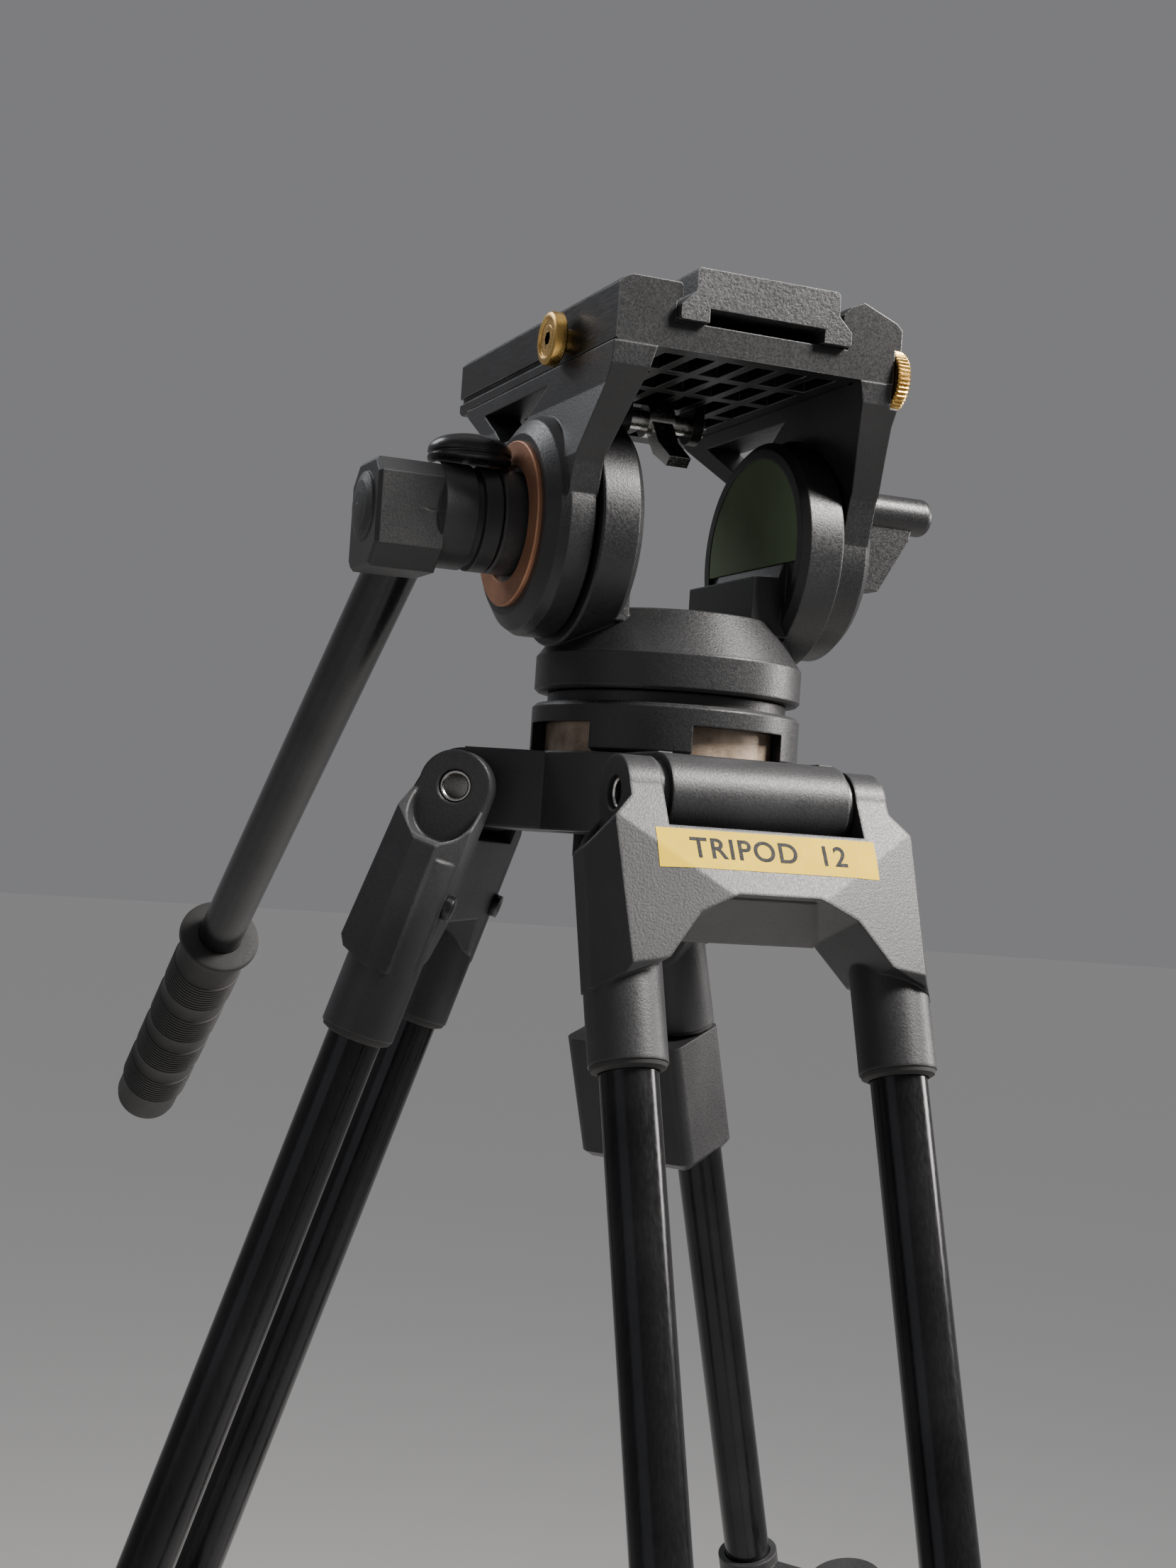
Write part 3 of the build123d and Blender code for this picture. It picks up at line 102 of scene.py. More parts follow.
head_centre = Vector((0, 0, 1.24))
for name, place, size, power, colour in (
    ("key", (0.80, -0.66, 2.15), 0.45, 74.0, (1.0, 0.97, 0.93)),
    ("side", (1.60, -0.15, 1.55), 0.5, 20.0, (1.0, 0.96, 0.92)),
    ("fill", (-2.0, -0.9, 1.3), 1.4, 3.0, (0.93, 0.95, 1.0)),
    ("rim", (-0.9, 1.3, 2.4), 0.8, 14.0, (0.95, 0.97, 1.0)),
):
    light_data = bpy.data.lights.new(name, "AREA")
    light_data.energy = power
    light_data.size = size
    light_data.color = colour
    light = bpy.data.objects.new(name, light_data)
    toward = head_centre - Vector(place)
    light.matrix_world = Matrix.Translation(place) @ toward.to_track_quat("-Z", "Y").to_matrix().to_4x4()
    bpy.context.scene.collection.objects.link(light)

# ------------------------------------------------------------------ leg yokes
# Three die-cast aluminium forks, powder coated in fine-textured black. Each holds the pin in two
# ears and grips a pair of tubes in its collars; the coat is rubbed thin along its edges.
legs = ("front", "right", "left")
joints = {joint["name"]: joint for joint in frame["joints"]}
mm = 0.001
grain_share = 0.45


def coated(name, dark, pale, roughness, grain, depth, metallic=0.0, stretch=(1, 1, 1),
           worn=None, wear=0.0, rounding=0.5 * mm, patch=0.035, speckle=0.08):
    """A finish with a fine grain, broad patches of tone, softened edges and rubbed corners."""
    material = bpy.data.materials.new(name)
    material.use_nodes = True
    nodes = material.node_tree.nodes
    links = material.node_tree.links
    shader = nodes["Principled BSDF"]
    shader.inputs["Metallic"].default_value = metallic
    shader.inputs["Specular IOR Level"].default_value = 0.36
    coords = nodes.new("ShaderNodeTexCoord")
    mapping = nodes.new("ShaderNodeMapping")
    mapping.inputs["Scale"].default_value = stretch
    links.new(coords.outputs["Object"], mapping.inputs["Vector"])
    fine = nodes.new("ShaderNodeTexNoise")
    fine.inputs["Scale"].default_value = 1 / grain
    fine.inputs["Detail"].default_value = 3.0
    fine.inputs["Roughness"].default_value = 0.62
    links.new(mapping.outputs["Vector"], fine.inputs["Vector"])
    broad = nodes.new("ShaderNodeTexNoise")
    broad.inputs["Scale"].default_value = 1 / patch
    broad.inputs["Detail"].default_value = 5.0
    links.new(coords.outputs["Object"], broad.inputs["Vector"])
    both = nodes.new("ShaderNodeMath")
    both.operation = "MULTIPLY_ADD"
    both.inputs[1].default_value = grain_share
    links.new(fine.outputs["Fac"], both.inputs[0])
    links.new(broad.outputs["Fac"], both.inputs[2])
    spread = nodes.new("ShaderNodeMapRange")
    spread.inputs["From Min"].default_value = 0.5
    spread.inputs["From Max"].default_value = 0.95
    links.new(both.outputs["Value"], spread.inputs["Value"])
    tint = nodes.new("ShaderNodeMix")
    tint.data_type = "RGBA"
    tint.inputs["A"].default_value = (*dark, 1)
    tint.inputs["B"].default_value = (*pale, 1)
    links.new(spread.outputs["Result"], tint.inputs["Factor"])
    gloss = nodes.new("ShaderNodeMapRange")
    gloss.inputs["From Min"].default_value = 0.3
    gloss.inputs["From Max"].default_value = 0.7
    gloss.inputs["To Min"].default_value = roughness - speckle
    gloss.inputs["To Max"].default_value = roughness + speckle
    links.new(fine.outputs["Fac"], gloss.inputs["Value"])
    links.new(gloss.outputs["Result"], shader.inputs["Roughness"])
    soft_edge = nodes.new("ShaderNodeBevel")
    soft_edge.samples = 4
    soft_edge.inputs["Radius"].default_value = rounding
    bump = nodes.new("ShaderNodeBump")
    bump.inputs["Strength"].default_value = 0.9
    bump.inputs["Distance"].default_value = depth
    links.new(fine.outputs["Fac"], bump.inputs["Height"])
    links.new(soft_edge.outputs["Normal"], bump.inputs["Normal"])
    links.new(bump.outputs["Normal"], shader.inputs["Normal"])
    colour = tint.outputs["Result"]
    if worn:
        geometry = nodes.new("ShaderNodeNewGeometry")
        bend = nodes.new("ShaderNodeVectorMath")
        bend.operation = "DOT_PRODUCT"
        links.new(geometry.outputs["Normal"], bend.inputs[0])
        links.new(soft_edge.outputs["Normal"], bend.inputs[1])
        corner = nodes.new("ShaderNodeMapRange")
        corner.inputs["From Min"].default_value = 0.995
        corner.inputs["From Max"].default_value = 0.90
        corner.inputs["To Max"].default_value = wear
        links.new(bend.outputs["Value"], corner.inputs["Value"])
        rubbed = nodes.new("ShaderNodeMath")
        rubbed.operation = "MULTIPLY"
        links.new(corner.outputs["Result"], rubbed.inputs[0])
        links.new(spread.outputs["Result"], rubbed.inputs[1])
        bare = nodes.new("ShaderNodeMix")
        bare.data_type = "RGBA"
        bare.inputs["B"].default_value = (*worn, 1)
        links.new(rubbed.outputs["Value"], bare.inputs["Factor"])
        links.new(tint.outputs["Result"], bare.inputs["A"])
        colour = bare.outputs["Result"]
    links.new(colour, shader.inputs["Base Color"])
    return material


def paint(material, *names):
    """Gives CAD nodes their finish, in every material slot."""
    for name in names:
        mesh = frame["nodes"][name].data
        mesh.materials.clear()
        mesh.materials.append(material)


cast_black = coated("cast_black", (0.016, 0.016, 0.017), (0.034, 0.034, 0.036), 0.43, 0.75 * mm, 0.10 * mm,
                    worn=(0.13, 0.13, 0.135), wear=0.35, rounding=1.4 * mm)
paint(cast_black, *(leg + "_leg_yoke" for leg in legs))


def leg_frame(leg):
    """The leg's own axes: x along its pin, y up the leg, z outwards, from the pin's middle."""
    spread = joints[leg + "_leg_spread"]
    along = Vector(spread["axis"])
    up = Vector(joints[leg + "_centre_slide"]["axis"])
    axes = Matrix((along, up, along.cross(up))).transposed().to_4x4()
    return Matrix.Translation(spread["pos_m"]) @ axes


def finished(name, bm, place, body, slot, material, *replaced, smooth=35.0):
    """Turns a bmesh into a finished piece in its place, riding on its body."""
    bmesh.ops.remove_doubles(bm, verts=bm.verts, dist=1e-6)
    bmesh.ops.recalc_face_normals(bm, faces=bm.faces)
    bmesh.ops.transform(bm, matrix=place, verts=bm.verts)
    mesh = bpy.data.meshes.new(name)
    for face in bm.faces:
        face.smooth = True
    bm.to_mesh(mesh)
    bm.free()
    mesh.set_sharp_from_angle(angle=math.radians(smooth))
    mesh.materials.append(material)
    piece = bpy.data.objects.new(name, mesh)
    bpy.context.scene.collection.objects.link(piece)
    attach(piece, body)
    if replaced:
        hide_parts(*replaced)


def round_off(bm, amount, angle=30.0, segments=3):
    """Rounds every edge that is sharper than the angle."""
    sharp = [e for e in bm.edges if len(e.link_faces) == 2 and e.calc_face_angle() > math.radians(angle)]
    bmesh.ops.bevel(bm, geom=sharp, offset=amount, affect="EDGES", segments=segments, profile=0.5,
                    material=-1, clamp_overlap=True)


# Cap screws in the back of each yoke pinch its collars on the tubes: blackened steel with a hex socket.
screw_black = coated("screw_black", (0.03, 0.03, 0.032), (0.07, 0.07, 0.072), 0.32, 0.8 * mm, 0.02 * mm,
                     metallic=0.8, worn=(0.4, 0.4, 0.4), wear=0.8, rounding=0.25 * mm)
collar_spot = Vector((46.25, -38.0, -12.1)) * mm
yoke_screw_radius = 4.2 * mm
yoke_screw_height = 2.6 * mm


def cap_screw(bm, radius, height, place):
    """A cap screw's head, standing along z, with a hexagon socket, added to a bmesh."""
    socket_radius = 0.55 * radius
    socket_depth = 0.6 * height
    rim = bmesh.ops.create_circle(bm, segments=40, radius=radius)["verts"]
    ring = [e for e in bm.edges if all(v in rim for v in e.verts)]
    walls = bmesh.ops.extrude_edge_only(bm, edges=ring)["geom"]
    top_rim = [v for v in walls if isinstance(v, bmesh.types.BMVert)]
    bmesh.ops.translate(bm, vec=(0, 0, height), verts=top_rim)
    hexagon = bmesh.ops.create_circle(bm, segments=6, radius=socket_radius)["verts"]
    bmesh.ops.translate(bm, vec=(0, 0, height), verts=hexagon)
    hex_ring = [e for e in bm.edges if all(v in hexagon for v in e.verts)]
    top_ring = [e for e in walls if isinstance(e, bmesh.types.BMEdge)]
    bmesh.ops.bridge_loops(bm, edges=top_ring + hex_ring)
    socket = bmesh.ops.extrude_edge_only(bm, edges=hex_ring)["geom"]
    floor_rim = [v for v in socket if isinstance(v, bmesh.types.BMVert)]
    bmesh.ops.translate(bm, vec=(0, 0, -socket_depth), verts=floor_rim)
    floor_ring = [e for e in socket if isinstance(e, bmesh.types.BMEdge)]
    bmesh.ops.holes_fill(bm, edges=floor_ring + ring, sides=0)
    made = set(rim) | set(top_rim) | set(hexagon) | set(floor_rim)
    bmesh.ops.transform(bm, matrix=place, verts=list(made))


for leg in legs:
    bm = bmesh.new()
    for side in (1, -1):
        spot = Vector((side * collar_spot.x, collar_spot.y, collar_spot.z))
        turned_back = Matrix.Translation(spot) @ Matrix.Rotation(math.pi, 4, "X")
        cap_screw(bm, yoke_screw_radius, yoke_screw_height, turned_back)
    round_off(bm, 0.35 * mm, angle=50.0, segments=2)
    finished(leg + "_yoke_screws", bm, leg_frame(leg), leg + "_leg", "bright_steel", screw_black)

# ------------------------------------------------------------------ hire label
# A strip of yellow tape stuck under the front yoke's slot, printed with a word and a number in
# black. It is pressed over the crease beside it, and its corners are cut square.
label_half = (37.9, 6.5)
label_middle = (-1.0, -22.0)
label_lift = 0.12
tape_thickness = 0.1
print_lift = 0.04
slot_line = -14.4
front_depth = 14.5
front_slope = 0.19
crease = [Vector((45.0, -16.0, 14.804)), Vector((15.0, -37.5, 18.889)), Vector((41.0, -56.5, 17.0))]


def yoke_face(x, y):
    """Height of the yoke's front face in the leg's frame, with the facets at its sides, in mm."""
    flat = front_depth + front_slope * (slot_line - y)
    a, b, c = crease
    normal = (b - a).cross(c - a)
    facet = a.z - (normal.x * (abs(x) - a.x) + normal.y * (y - a.y)) / normal.z
    return min(flat, facet)


tape_yellow = coated("tape_yellow", (0.64, 0.41, 0.0), (0.72, 0.48, 0.0), 0.62, 1.4 * mm, 0.02 * mm,
                     rounding=0.1 * mm, patch=0.012)
tape_yellow.node_tree.nodes["Principled BSDF"].inputs["Specular IOR Level"].default_value = 0.2
bm = bmesh.new()
bmesh.ops.create_grid(bm, x_segments=90, y_segments=18, size=1.0)
for vert in bm.verts:
    x = label_middle[0] + vert.co.x * label_half[0]
    y = label_middle[1] + vert.co.y * label_half[1]
    vert.co = Vector((x, y, yoke_face(x, y) + label_lift)) * mm
solid = bmesh.ops.extrude_face_region(bm, geom=bm.faces[:])["geom"]
bmesh.ops.translate(bm, vec=(0, 0, -tape_thickness * mm),
                    verts=[v for v in solid if isinstance(v, bmesh.types.BMVert)])
finished("hire_label", bm, leg_frame("front"), "front_leg", "moulded_black", tape_yellow)

print_black = coated("print_black", (0.004, 0.004, 0.005), (0.008, 0.008, 0.008), 0.75, 0.9 * mm, 0.01 * mm,
                     rounding=0.05 * mm)
letters = bpy.data.curves.new("label_print", "FONT")
letters.body = "TRIPOD  12"
letters.size = 9.6 * mm
letters.offset = 0.16 * mm
letters.extrude = 0.03 * mm
letters.align_x = "CENTER"
letters.align_y = "CENTER"
letters.space_character = 1.12
sketch = bpy.data.objects.new("label_sketch", letters)
bpy.context.scene.collection.objects.link(sketch)
bpy.context.view_layer.update()
print_mesh = bpy.data.meshes.new_from_object(sketch.evaluated_get(bpy.context.evaluated_depsgraph_get()))
bpy.data.objects.remove(sketch)
bm = bmesh.new()
bm.from_mesh(print_mesh)
bpy.data.meshes.remove(print_mesh)
for vert in bm.verts:
    x = label_middle[0] + vert.co.x / mm
    y = label_middle[1] + vert.co.y / mm
    vert.co = Vector((x, y, yoke_face(x, y) + label_lift + print_lift + vert.co.z / mm)) * mm
finished("label_print", bm, leg_frame("front"), "front_leg", "moulded_black", print_black)

# ------------------------------------------------------------------ leg pins and bushes
# Hollow ground steel pins, pressed in the ears and left bright at their ends. Flanged plastic
# bushes keep the ears off the crown's barrels.
bright_steel = coated("bright_steel", (0.42, 0.41, 0.39), (0.62, 0.61, 0.58), 0.26, 0.5 * mm, 0.015 * mm,
                      metallic=1.0, rounding=0.3 * mm, patch=0.01)
paint(bright_steel, *(leg + "_leg_pin" for leg in legs))
bush_grey = coated("bush_grey", (0.045, 0.045, 0.046), (0.08, 0.08, 0.082), 0.38, 0.7 * mm, 0.04 * mm,
                   worn=(0.2, 0.2, 0.2), wear=0.3)
paint(bush_grey, "bush_rings")

# ------------------------------------------------------------------ leg tubes
# Drawn aluminium tubes, polished and anodised glossy black, two above and one that slides between
# them, with a thinner one inside it. Fine draw lines run down their length.
for leg in legs:
    tube_black = coated(leg + "_tube_black", (0.010, 0.010, 0.011), (0.022, 0.022, 0.024), 0.20, 0.9 * mm,
                        0.012 * mm, metallic=0.55, stretch=(1, 1, 0.05), worn=(0.3, 0.3, 0.31), wear=0.7,
                        rounding=0.3 * mm, speckle=0.05)
    paint(tube_black, leg + "_upper_tubes", leg + "_centre_tube", leg + "_lower_tube")

# Rubber wipers sit in the mouth of each collar, where the tubes come out.
rubber_black = coated("rubber_black", (0.014, 0.014, 0.014), (0.034, 0.033, 0.032), 0.72, 0.9 * mm,
                      0.06 * mm, rounding=0.4 * mm, patch=0.02)
tube_side = 46.25
collar_end = -86.0
wiper = [(9.06, 0.0), (9.06, -1.8), (9.6, -2.3), (11.4, -1.4), (11.9, 0.0)]
for leg in legs:
    bm = bmesh.new()
    for side in (1, -1):
        verts = [bm.verts.new((side * tube_side * mm + r * mm, (collar_end + h) * mm, 0)) for r, h in wiper]
        edges = [bm.edges.new(pair) for pair in zip(verts, verts[1:] + verts[:1])]
        bmesh.ops.spin(bm, geom=verts + edges, cent=(side * tube_side * mm, 0, 0), axis=(0, 1, 0),
                       angle=2 * math.pi, steps=64, use_merge=True)
    finished(leg + "_collar_wipers", bm, leg_frame(leg), leg + "_leg", "rubber_black", rubber_black)

# ------------------------------------------------------------------ lock blocks, bridges and clamps
# Glass-filled nylon mouldings with a spark-eroded texture. The lock block joins the twin tubes, the
# bridge slides on them, and the clamp ends the middle tube; steel screws hold the locks' pins.
moulded_black = coated("moulded_black", (0.013, 0.013, 0.014), (0.028, 0.028, 0.029), 0.44, 0.8 * mm,
                       0.09 * mm, worn=(0.10, 0.10, 0.10), wear=0.4, rounding=0.6 * mm)
for leg in legs:
    for part in ("_lock_block", "_guide_bridge", "_lower_clamp", "_lock_lever", "_lower_lever"):
        paint(moulded_black, leg + part)

pivot_reach = 15.6
pivot_screw_radius = 3.4 * mm
pivot_screw_height = 1.6 * mm
for leg in legs:
    for lock, body in (("lock", "_leg"), ("lower", "_centre_stage")):
        hinge = Vector(joints[f"{leg}_{lock}_lever_flip"]["pos_m"])
        local = leg_frame(leg).inverted() @ hinge
        bm = bmesh.new()
        for side in (1, -1):
            turn = Matrix.Rotation(side * math.pi / 2, 4, "Y")
            spot = Matrix.Translation(local + Vector((side * pivot_reach * mm, 0, 0)))
            cap_screw(bm, pivot_screw_radius, pivot_screw_height, spot @ turn)
        round_off(bm, 0.3 * mm, angle=50.0, segments=2)
        finished(f"{leg}_{lock}_pivot_screws", bm, leg_frame(leg), leg + body, "bright_steel", screw_black)

# Raised thumb ribs across the end of every lever.
thumb_ribs = 5
thumb_start = 6.0
thumb_pitch = 4.0
thumb_height = 5.0
thumb_size = (13 * mm, 1.5 * mm, 1.2 * mm, 1)
for leg in legs:
    for lock, length in (("lock", 34.0), ("lower", 26.0)):
        hinge = leg_frame(leg).inverted() @ Vector(joints[f"{leg}_{lock}_lever_flip"]["pos_m"])
        bm = bmesh.new()
        for step in range(thumb_ribs):
            rib = bmesh.ops.create_cube(bm, size=1.0)["verts"]
            y = -length - thumb_start + thumb_pitch * step
            place = Matrix.Translation(hinge + Vector((0, y, thumb_height)) * mm)
            bmesh.ops.transform(bm, matrix=place @ Matrix.Diagonal(thumb_size), verts=rib)
        round_off(bm, 0.35 * mm)
        finished(f"{leg}_{lock}_lever_ribs", bm, leg_frame(leg), f"{leg}_{lock}_lever", "moulded_black",
                 moulded_black)

# ------------------------------------------------------------------ feet
# Moulded rubber boots pushed over the lower tubes. Each is ringed for grip and ends in a ball, cut
# flat where it stands on the ground.
boot_bore = 10.6
boot_socket = 46.0
foot_boot = (
    (boot_bore, 0.0), (11.8, 0.2), (12.4, 1.2), (12.9, 6.0), (13.2, 9.0), (12.0, 10.6), (12.0, 13.4),
    (13.6, 15.0), (14.0, 18.5), (12.8, 20.0), (12.8, 22.6), (14.3, 24.2), (14.5, 27.6), (13.2, 29.0),
    (13.2, 31.6), (14.8, 33.2), (14.8, 42.5), (16.4, 46.2), (18.6, 50.6), (19.6, 57.0), (19.6, 60.0),
    (18.2, 65.2), (15.6, 70.0), (12.0, 74.0), (6.5, 76.9), (0.0, 77.8),
)
boot_top = 1178.0
sole_height = 0.0
for leg in legs:
    bm = bmesh.new()
    verts = [bm.verts.new((r * mm, -(boot_top + down) * mm, 0)) for r, down in foot_boot]
    verts.append(bm.verts.new((0, -(boot_top + boot_socket) * mm, 0)))
    verts.append(bm.verts.new((boot_bore * mm, -(boot_top + boot_socket) * mm, 0)))
    edges = [bm.edges.new(pair) for pair in zip(verts, verts[1:])]
    edges.append(bm.edges.new((verts[-1], verts[0])))
    bmesh.ops.spin(bm, geom=verts + edges, cent=(0, 0, 0), axis=(0, 1, 0), angle=2 * math.pi, steps=72,
                   use_merge=True)
    bmesh.ops.remove_doubles(bm, verts=bm.verts, dist=1e-6)
    ground = leg_frame(leg).inverted() @ Vector((0, 0, sole_height))
    down = (leg_frame(leg).inverted().to_3x3() @ Vector((0, 0, -1))).normalized()
    cut = bmesh.ops.bisect_plane(bm, geom=bm.verts[:] + bm.edges[:] + bm.faces[:], plane_co=ground,
                                 plane_no=down, clear_outer=True)
    rim = [e for e in cut["geom_cut"] if isinstance(e, bmesh.types.BMEdge)]
    bmesh.ops.holes_fill(bm, edges=rim, sides=0)
    finished(leg + "_foot_boot", bm, leg_frame(leg), leg + "_lower_stage", "rubber_black", rubber_black,
             leg + "_foot")

# ------------------------------------------------------------------ crown and tie-down knob
# The spider that the legs hang from, cast and coated like the yokes, with the moulded hand knob
# under it that pulls the head down on its seat.
paint(cast_black, "crown")
paint(moulded_black, "tie_down_knob")

# ------------------------------------------------------------------ seat ring and base flange
# A turned aluminium ring, bare and stained by use, shows in the windows of the head's base, which
# is turned and painted a satin textured black.
bare_ring = coated("bare_ring", (0.16, 0.115, 0.08), (0.36, 0.28, 0.21), 0.42, 0.9 * mm, 0.05 * mm,
                   metallic=0.35, stretch=(1, 1, 2.5), patch=0.006)
paint(bare_ring, "seat_ring")
head_black = coated("head_black", (0.010, 0.010, 0.011), (0.024, 0.024, 0.025), 0.38, 0.75 * mm, 0.09 * mm,
                    worn=(0.12, 0.12, 0.125), wear=0.3, rounding=0.8 * mm, speckle=0.12)
paint(head_black, "base_flange")

# ------------------------------------------------------------------ pan body
# The head's lower casting with its two upright discs, in the same satin paint. Flat grey-green
# discs of sheet plastic are let into the inner faces of the yoke.
paint(head_black, "pan_body")
cover_green = coated("cover_green", (0.095, 0.135, 0.070), (0.135, 0.180, 0.100), 0.7, 1.3 * mm, 0.05 * mm,
                     rounding=0.3 * mm, patch=0.02)
paint(cover_green, "yoke_covers")
paint(bright_steel, "tilt_axles")
paint(moulded_black, "pan_lock_knob")

# ------------------------------------------------------------------ bubble level
# A round vial on the pan body. A moulded black ring holds spirit tinted green under a clear dome,
# with an air bubble in it and a target ring printed over it.
low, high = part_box("bubble_level")
vial_centre = Vector(((low.x + high.x) / 2, (low.y + high.y) / 2, low.z))
vial_radius = (high.x - low.x) / 2
vial_height = high.z - low.z
ring_bore = 0.80 * vial_radius


def turned(bm, profile, steps=96):
    """A solid of revolution about z from (radius, height) points in metres, added to a bmesh."""
    verts = [bm.verts.new((radius, 0, height)) for radius, height in profile]
    edges = [bm.edges.new(pair) for pair in zip(verts, verts[1:])]
    if profile[0][0] > 1e-9 or profile[-1][0] > 1e-9:
        edges.append(bm.edges.new((verts[-1], verts[0])))
    bmesh.ops.spin(bm, geom=verts + edges, cent=(0, 0, 0), axis=(0, 0, 1), angle=2 * math.pi, steps=steps,
                   use_merge=True)
    bmesh.ops.remove_doubles(bm, verts=bm.verts, dist=1e-6)


vial_place = Matrix.Translation(vial_centre)
bm = bmesh.new()
turned(bm, [(ring_bore, 0.0), (vial_radius, 0.0), (vial_radius, 0.84 * vial_height),
            (0.96 * vial_radius, 0.94 * vial_height), (0.86 * vial_radius, 0.96 * vial_height),
            (ring_bore, 0.86 * vial_height)])
finished("level_ring", bm, vial_place, "pan_body", "moulded_black", moulded_black)
spirit = coated("spirit", (0.40, 0.55, 0.05), (0.52, 0.68, 0.10), 0.08, 2.0 * mm, 0.002 * mm,
                rounding=0.1 * mm, speckle=0.03)
spirit.node_tree.nodes["Principled BSDF"].inputs["Coat Weight"].default_value = 0.8
bm = bmesh.new()
dome = [(ring_bore * math.sin(a), (0.70 + 0.22 * math.cos(a)) * vial_height)
        for a in [math.radians(90 - 10 * i) for i in range(10)]]
turned(bm, [(0, 0.05 * vial_height), (ring_bore, 0.05 * vial_height)] + dome[:-1]
       + [(0, 0.92 * vial_height)])
finished("level_spirit", bm, vial_place, "pan_body", "level_vial", spirit, "bubble_level")
bubble = coated("bubble", (0.75, 0.85, 0.45), (0.85, 0.92, 0.6), 0.06, 2.0 * mm, 0.002 * mm,
                rounding=0.1 * mm, speckle=0.03)
bm = bmesh.new()
bmesh.ops.create_uvsphere(bm, u_segments=40, v_segments=20, radius=0.24 * vial_radius)
bmesh.ops.scale(bm, vec=(1, 1, 0.25), verts=bm.verts)
finished("level_bubble", bm, vial_place @ Matrix.Translation((0.1 * vial_radius, 0, 0.9 * vial_height)),
         "pan_body", "level_vial", bubble)
bm = bmesh.new()
turned(bm, [(0.42 * vial_radius, 0.91 * vial_height), (0.47 * vial_radius, 0.91 * vial_height),
            (0.47 * vial_radius, 0.935 * vial_height), (0.42 * vial_radius, 0.935 * vial_height)])
finished("level_target", bm, vial_place, "pan_body", "moulded_black", print_black)

# ------------------------------------------------------------------ tilting housings
# Cast drums with the platform's arms, painted as the pan body. A dull bronze washer with a fine
# grain shows round the hub on the handle's side, and the hub and clamp are moulded.
paint(head_black, "left_housing", "right_housing", "tilt_lock_lever")
bronze = coated("bronze", (0.30, 0.145, 0.085), (0.42, 0.21, 0.125), 0.50, 0.7 * mm, 0.03 * mm, metallic=0.75,
                stretch=(3, 0.6, 0.6), rounding=0.3 * mm, patch=0.012)
paint(bronze, "bronze_washer")
paint(moulded_black, "handle_hub", "handle_clamp")

# ------------------------------------------------------------------ handle lock knob
# A domed knob moulded in smooth black plastic, with a grip groove round its foot. Turned by hand, it
# locks the handle at its angle.
low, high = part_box("handle_lock_knob")
knob_radius = (high.x - low.x) / 2
knob_height = 9.6 * mm
knob_foot = high.z - knob_height
knob_rise = high.z - knob_foot
smooth_black = coated("smooth_black", (0.012, 0.012, 0.013), (0.022, 0.022, 0.023), 0.30, 1.2 * mm, 0.02 * mm,
                      rounding=0.3 * mm, speckle=0.05)
knob_place = Matrix.Translation(((low.x + high.x) / 2, (low.y + high.y) / 2, knob_foot))
crown_arc = [(knob_radius * math.cos(a) ** 0.75, knob_rise * (0.42 + 0.58 * math.sin(a)))
             for a in [math.radians(9 * i) for i in range(10)]]
bm = bmesh.new()
turned(bm, [(0, 0), (0.93 * knob_radius, 0), (0.985 * knob_radius, 0.06 * knob_rise),
            (knob_radius, 0.12 * knob_rise), (knob_radius, 0.2 * knob_rise),
            (0.965 * knob_radius, 0.24 * knob_rise), (0.965 * knob_radius, 0.30 * knob_rise),
            (knob_radius, 0.34 * knob_rise)]
       + crown_arc + [(0, knob_rise)])
finished("handle_lock_dome", bm, knob_place, "handle_lock_knob", "moulded_black", smooth_black,
         "handle_lock_knob")

# ------------------------------------------------------------------ pan bar and grip
# A black anodised aluminium bar, pushed into a long rubber grip with a stop flange, four bands of
# fine ribs and a rounded end.
bar_black = coated("bar_black", (0.010, 0.010, 0.011), (0.022, 0.022, 0.023), 0.24, 0.9 * mm, 0.012 * mm,
                   metallic=0.5, worn=(0.3, 0.3, 0.31), wear=0.6, rounding=0.3 * mm, speckle=0.05)
paint(bar_black, "pan_bar")
bar_angle = math.radians(33.0)
bar_line = Vector((0, math.cos(bar_angle), -math.sin(bar_angle)))
low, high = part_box("pan_bar")
tilt_centre = Vector(joints["head_tilt"]["pos_m"])
bar_x = (low.x + high.x) / 2
along_bar = bar_line.to_track_quat("Z", "Y").to_matrix().to_4x4()
grip_place = Matrix.Translation((bar_x, 0, tilt_centre.z)) @ along_bar
grip_start = 279.0
grip_end = 434.0
bands = 4
band_first = 22.0
band_pitch = 30.0
band_length = 20.0
rib_pitch = 2.0
grip_bore = 9.25
groove_radius = 13.8
band_radius = 14.3
rib_radius = 14.9
end_cap = 6.0
grip_profile = [(grip_bore, 0.0), (15.6, 0.0), (16.7, 0.6), (17.0, 1.6), (17.0, 2.8), (16.5, 3.7),
                (15.2, 4.2), (13.6, 5.0)]
for band in range(bands):
    start = band_first + band_pitch * band
    grip_profile += [(groove_radius, start - 1.0), (band_radius, start)]
    for rib in range(int(band_length / rib_pitch)):
        foot = start + rib_pitch * rib
        grip_profile += [(band_radius, foot + 0.25), (rib_radius, foot + 0.55), (rib_radius, foot + 1.35),
                         (band_radius, foot + 1.65)]
    stop = start + band_length
    grip_profile += [(band_radius, stop), (groove_radius, stop + 1.0)]
length = grip_end - grip_start
grip_profile += [(13.9, length - end_cap), (13.4, length - 3.4), (11.0, length - 1.4), (9.0, length - 0.3),
                 (0.0, length), (0.0, length - end_cap), (grip_bore, length - end_cap)]
bm = bmesh.new()
turned(bm, [(radius * mm, (grip_start + along) * mm) for radius, along in grip_profile], steps=80)
finished("ribbed_grip", bm, grip_place, "pan_handle", "rubber_black", rubber_black, "grip")

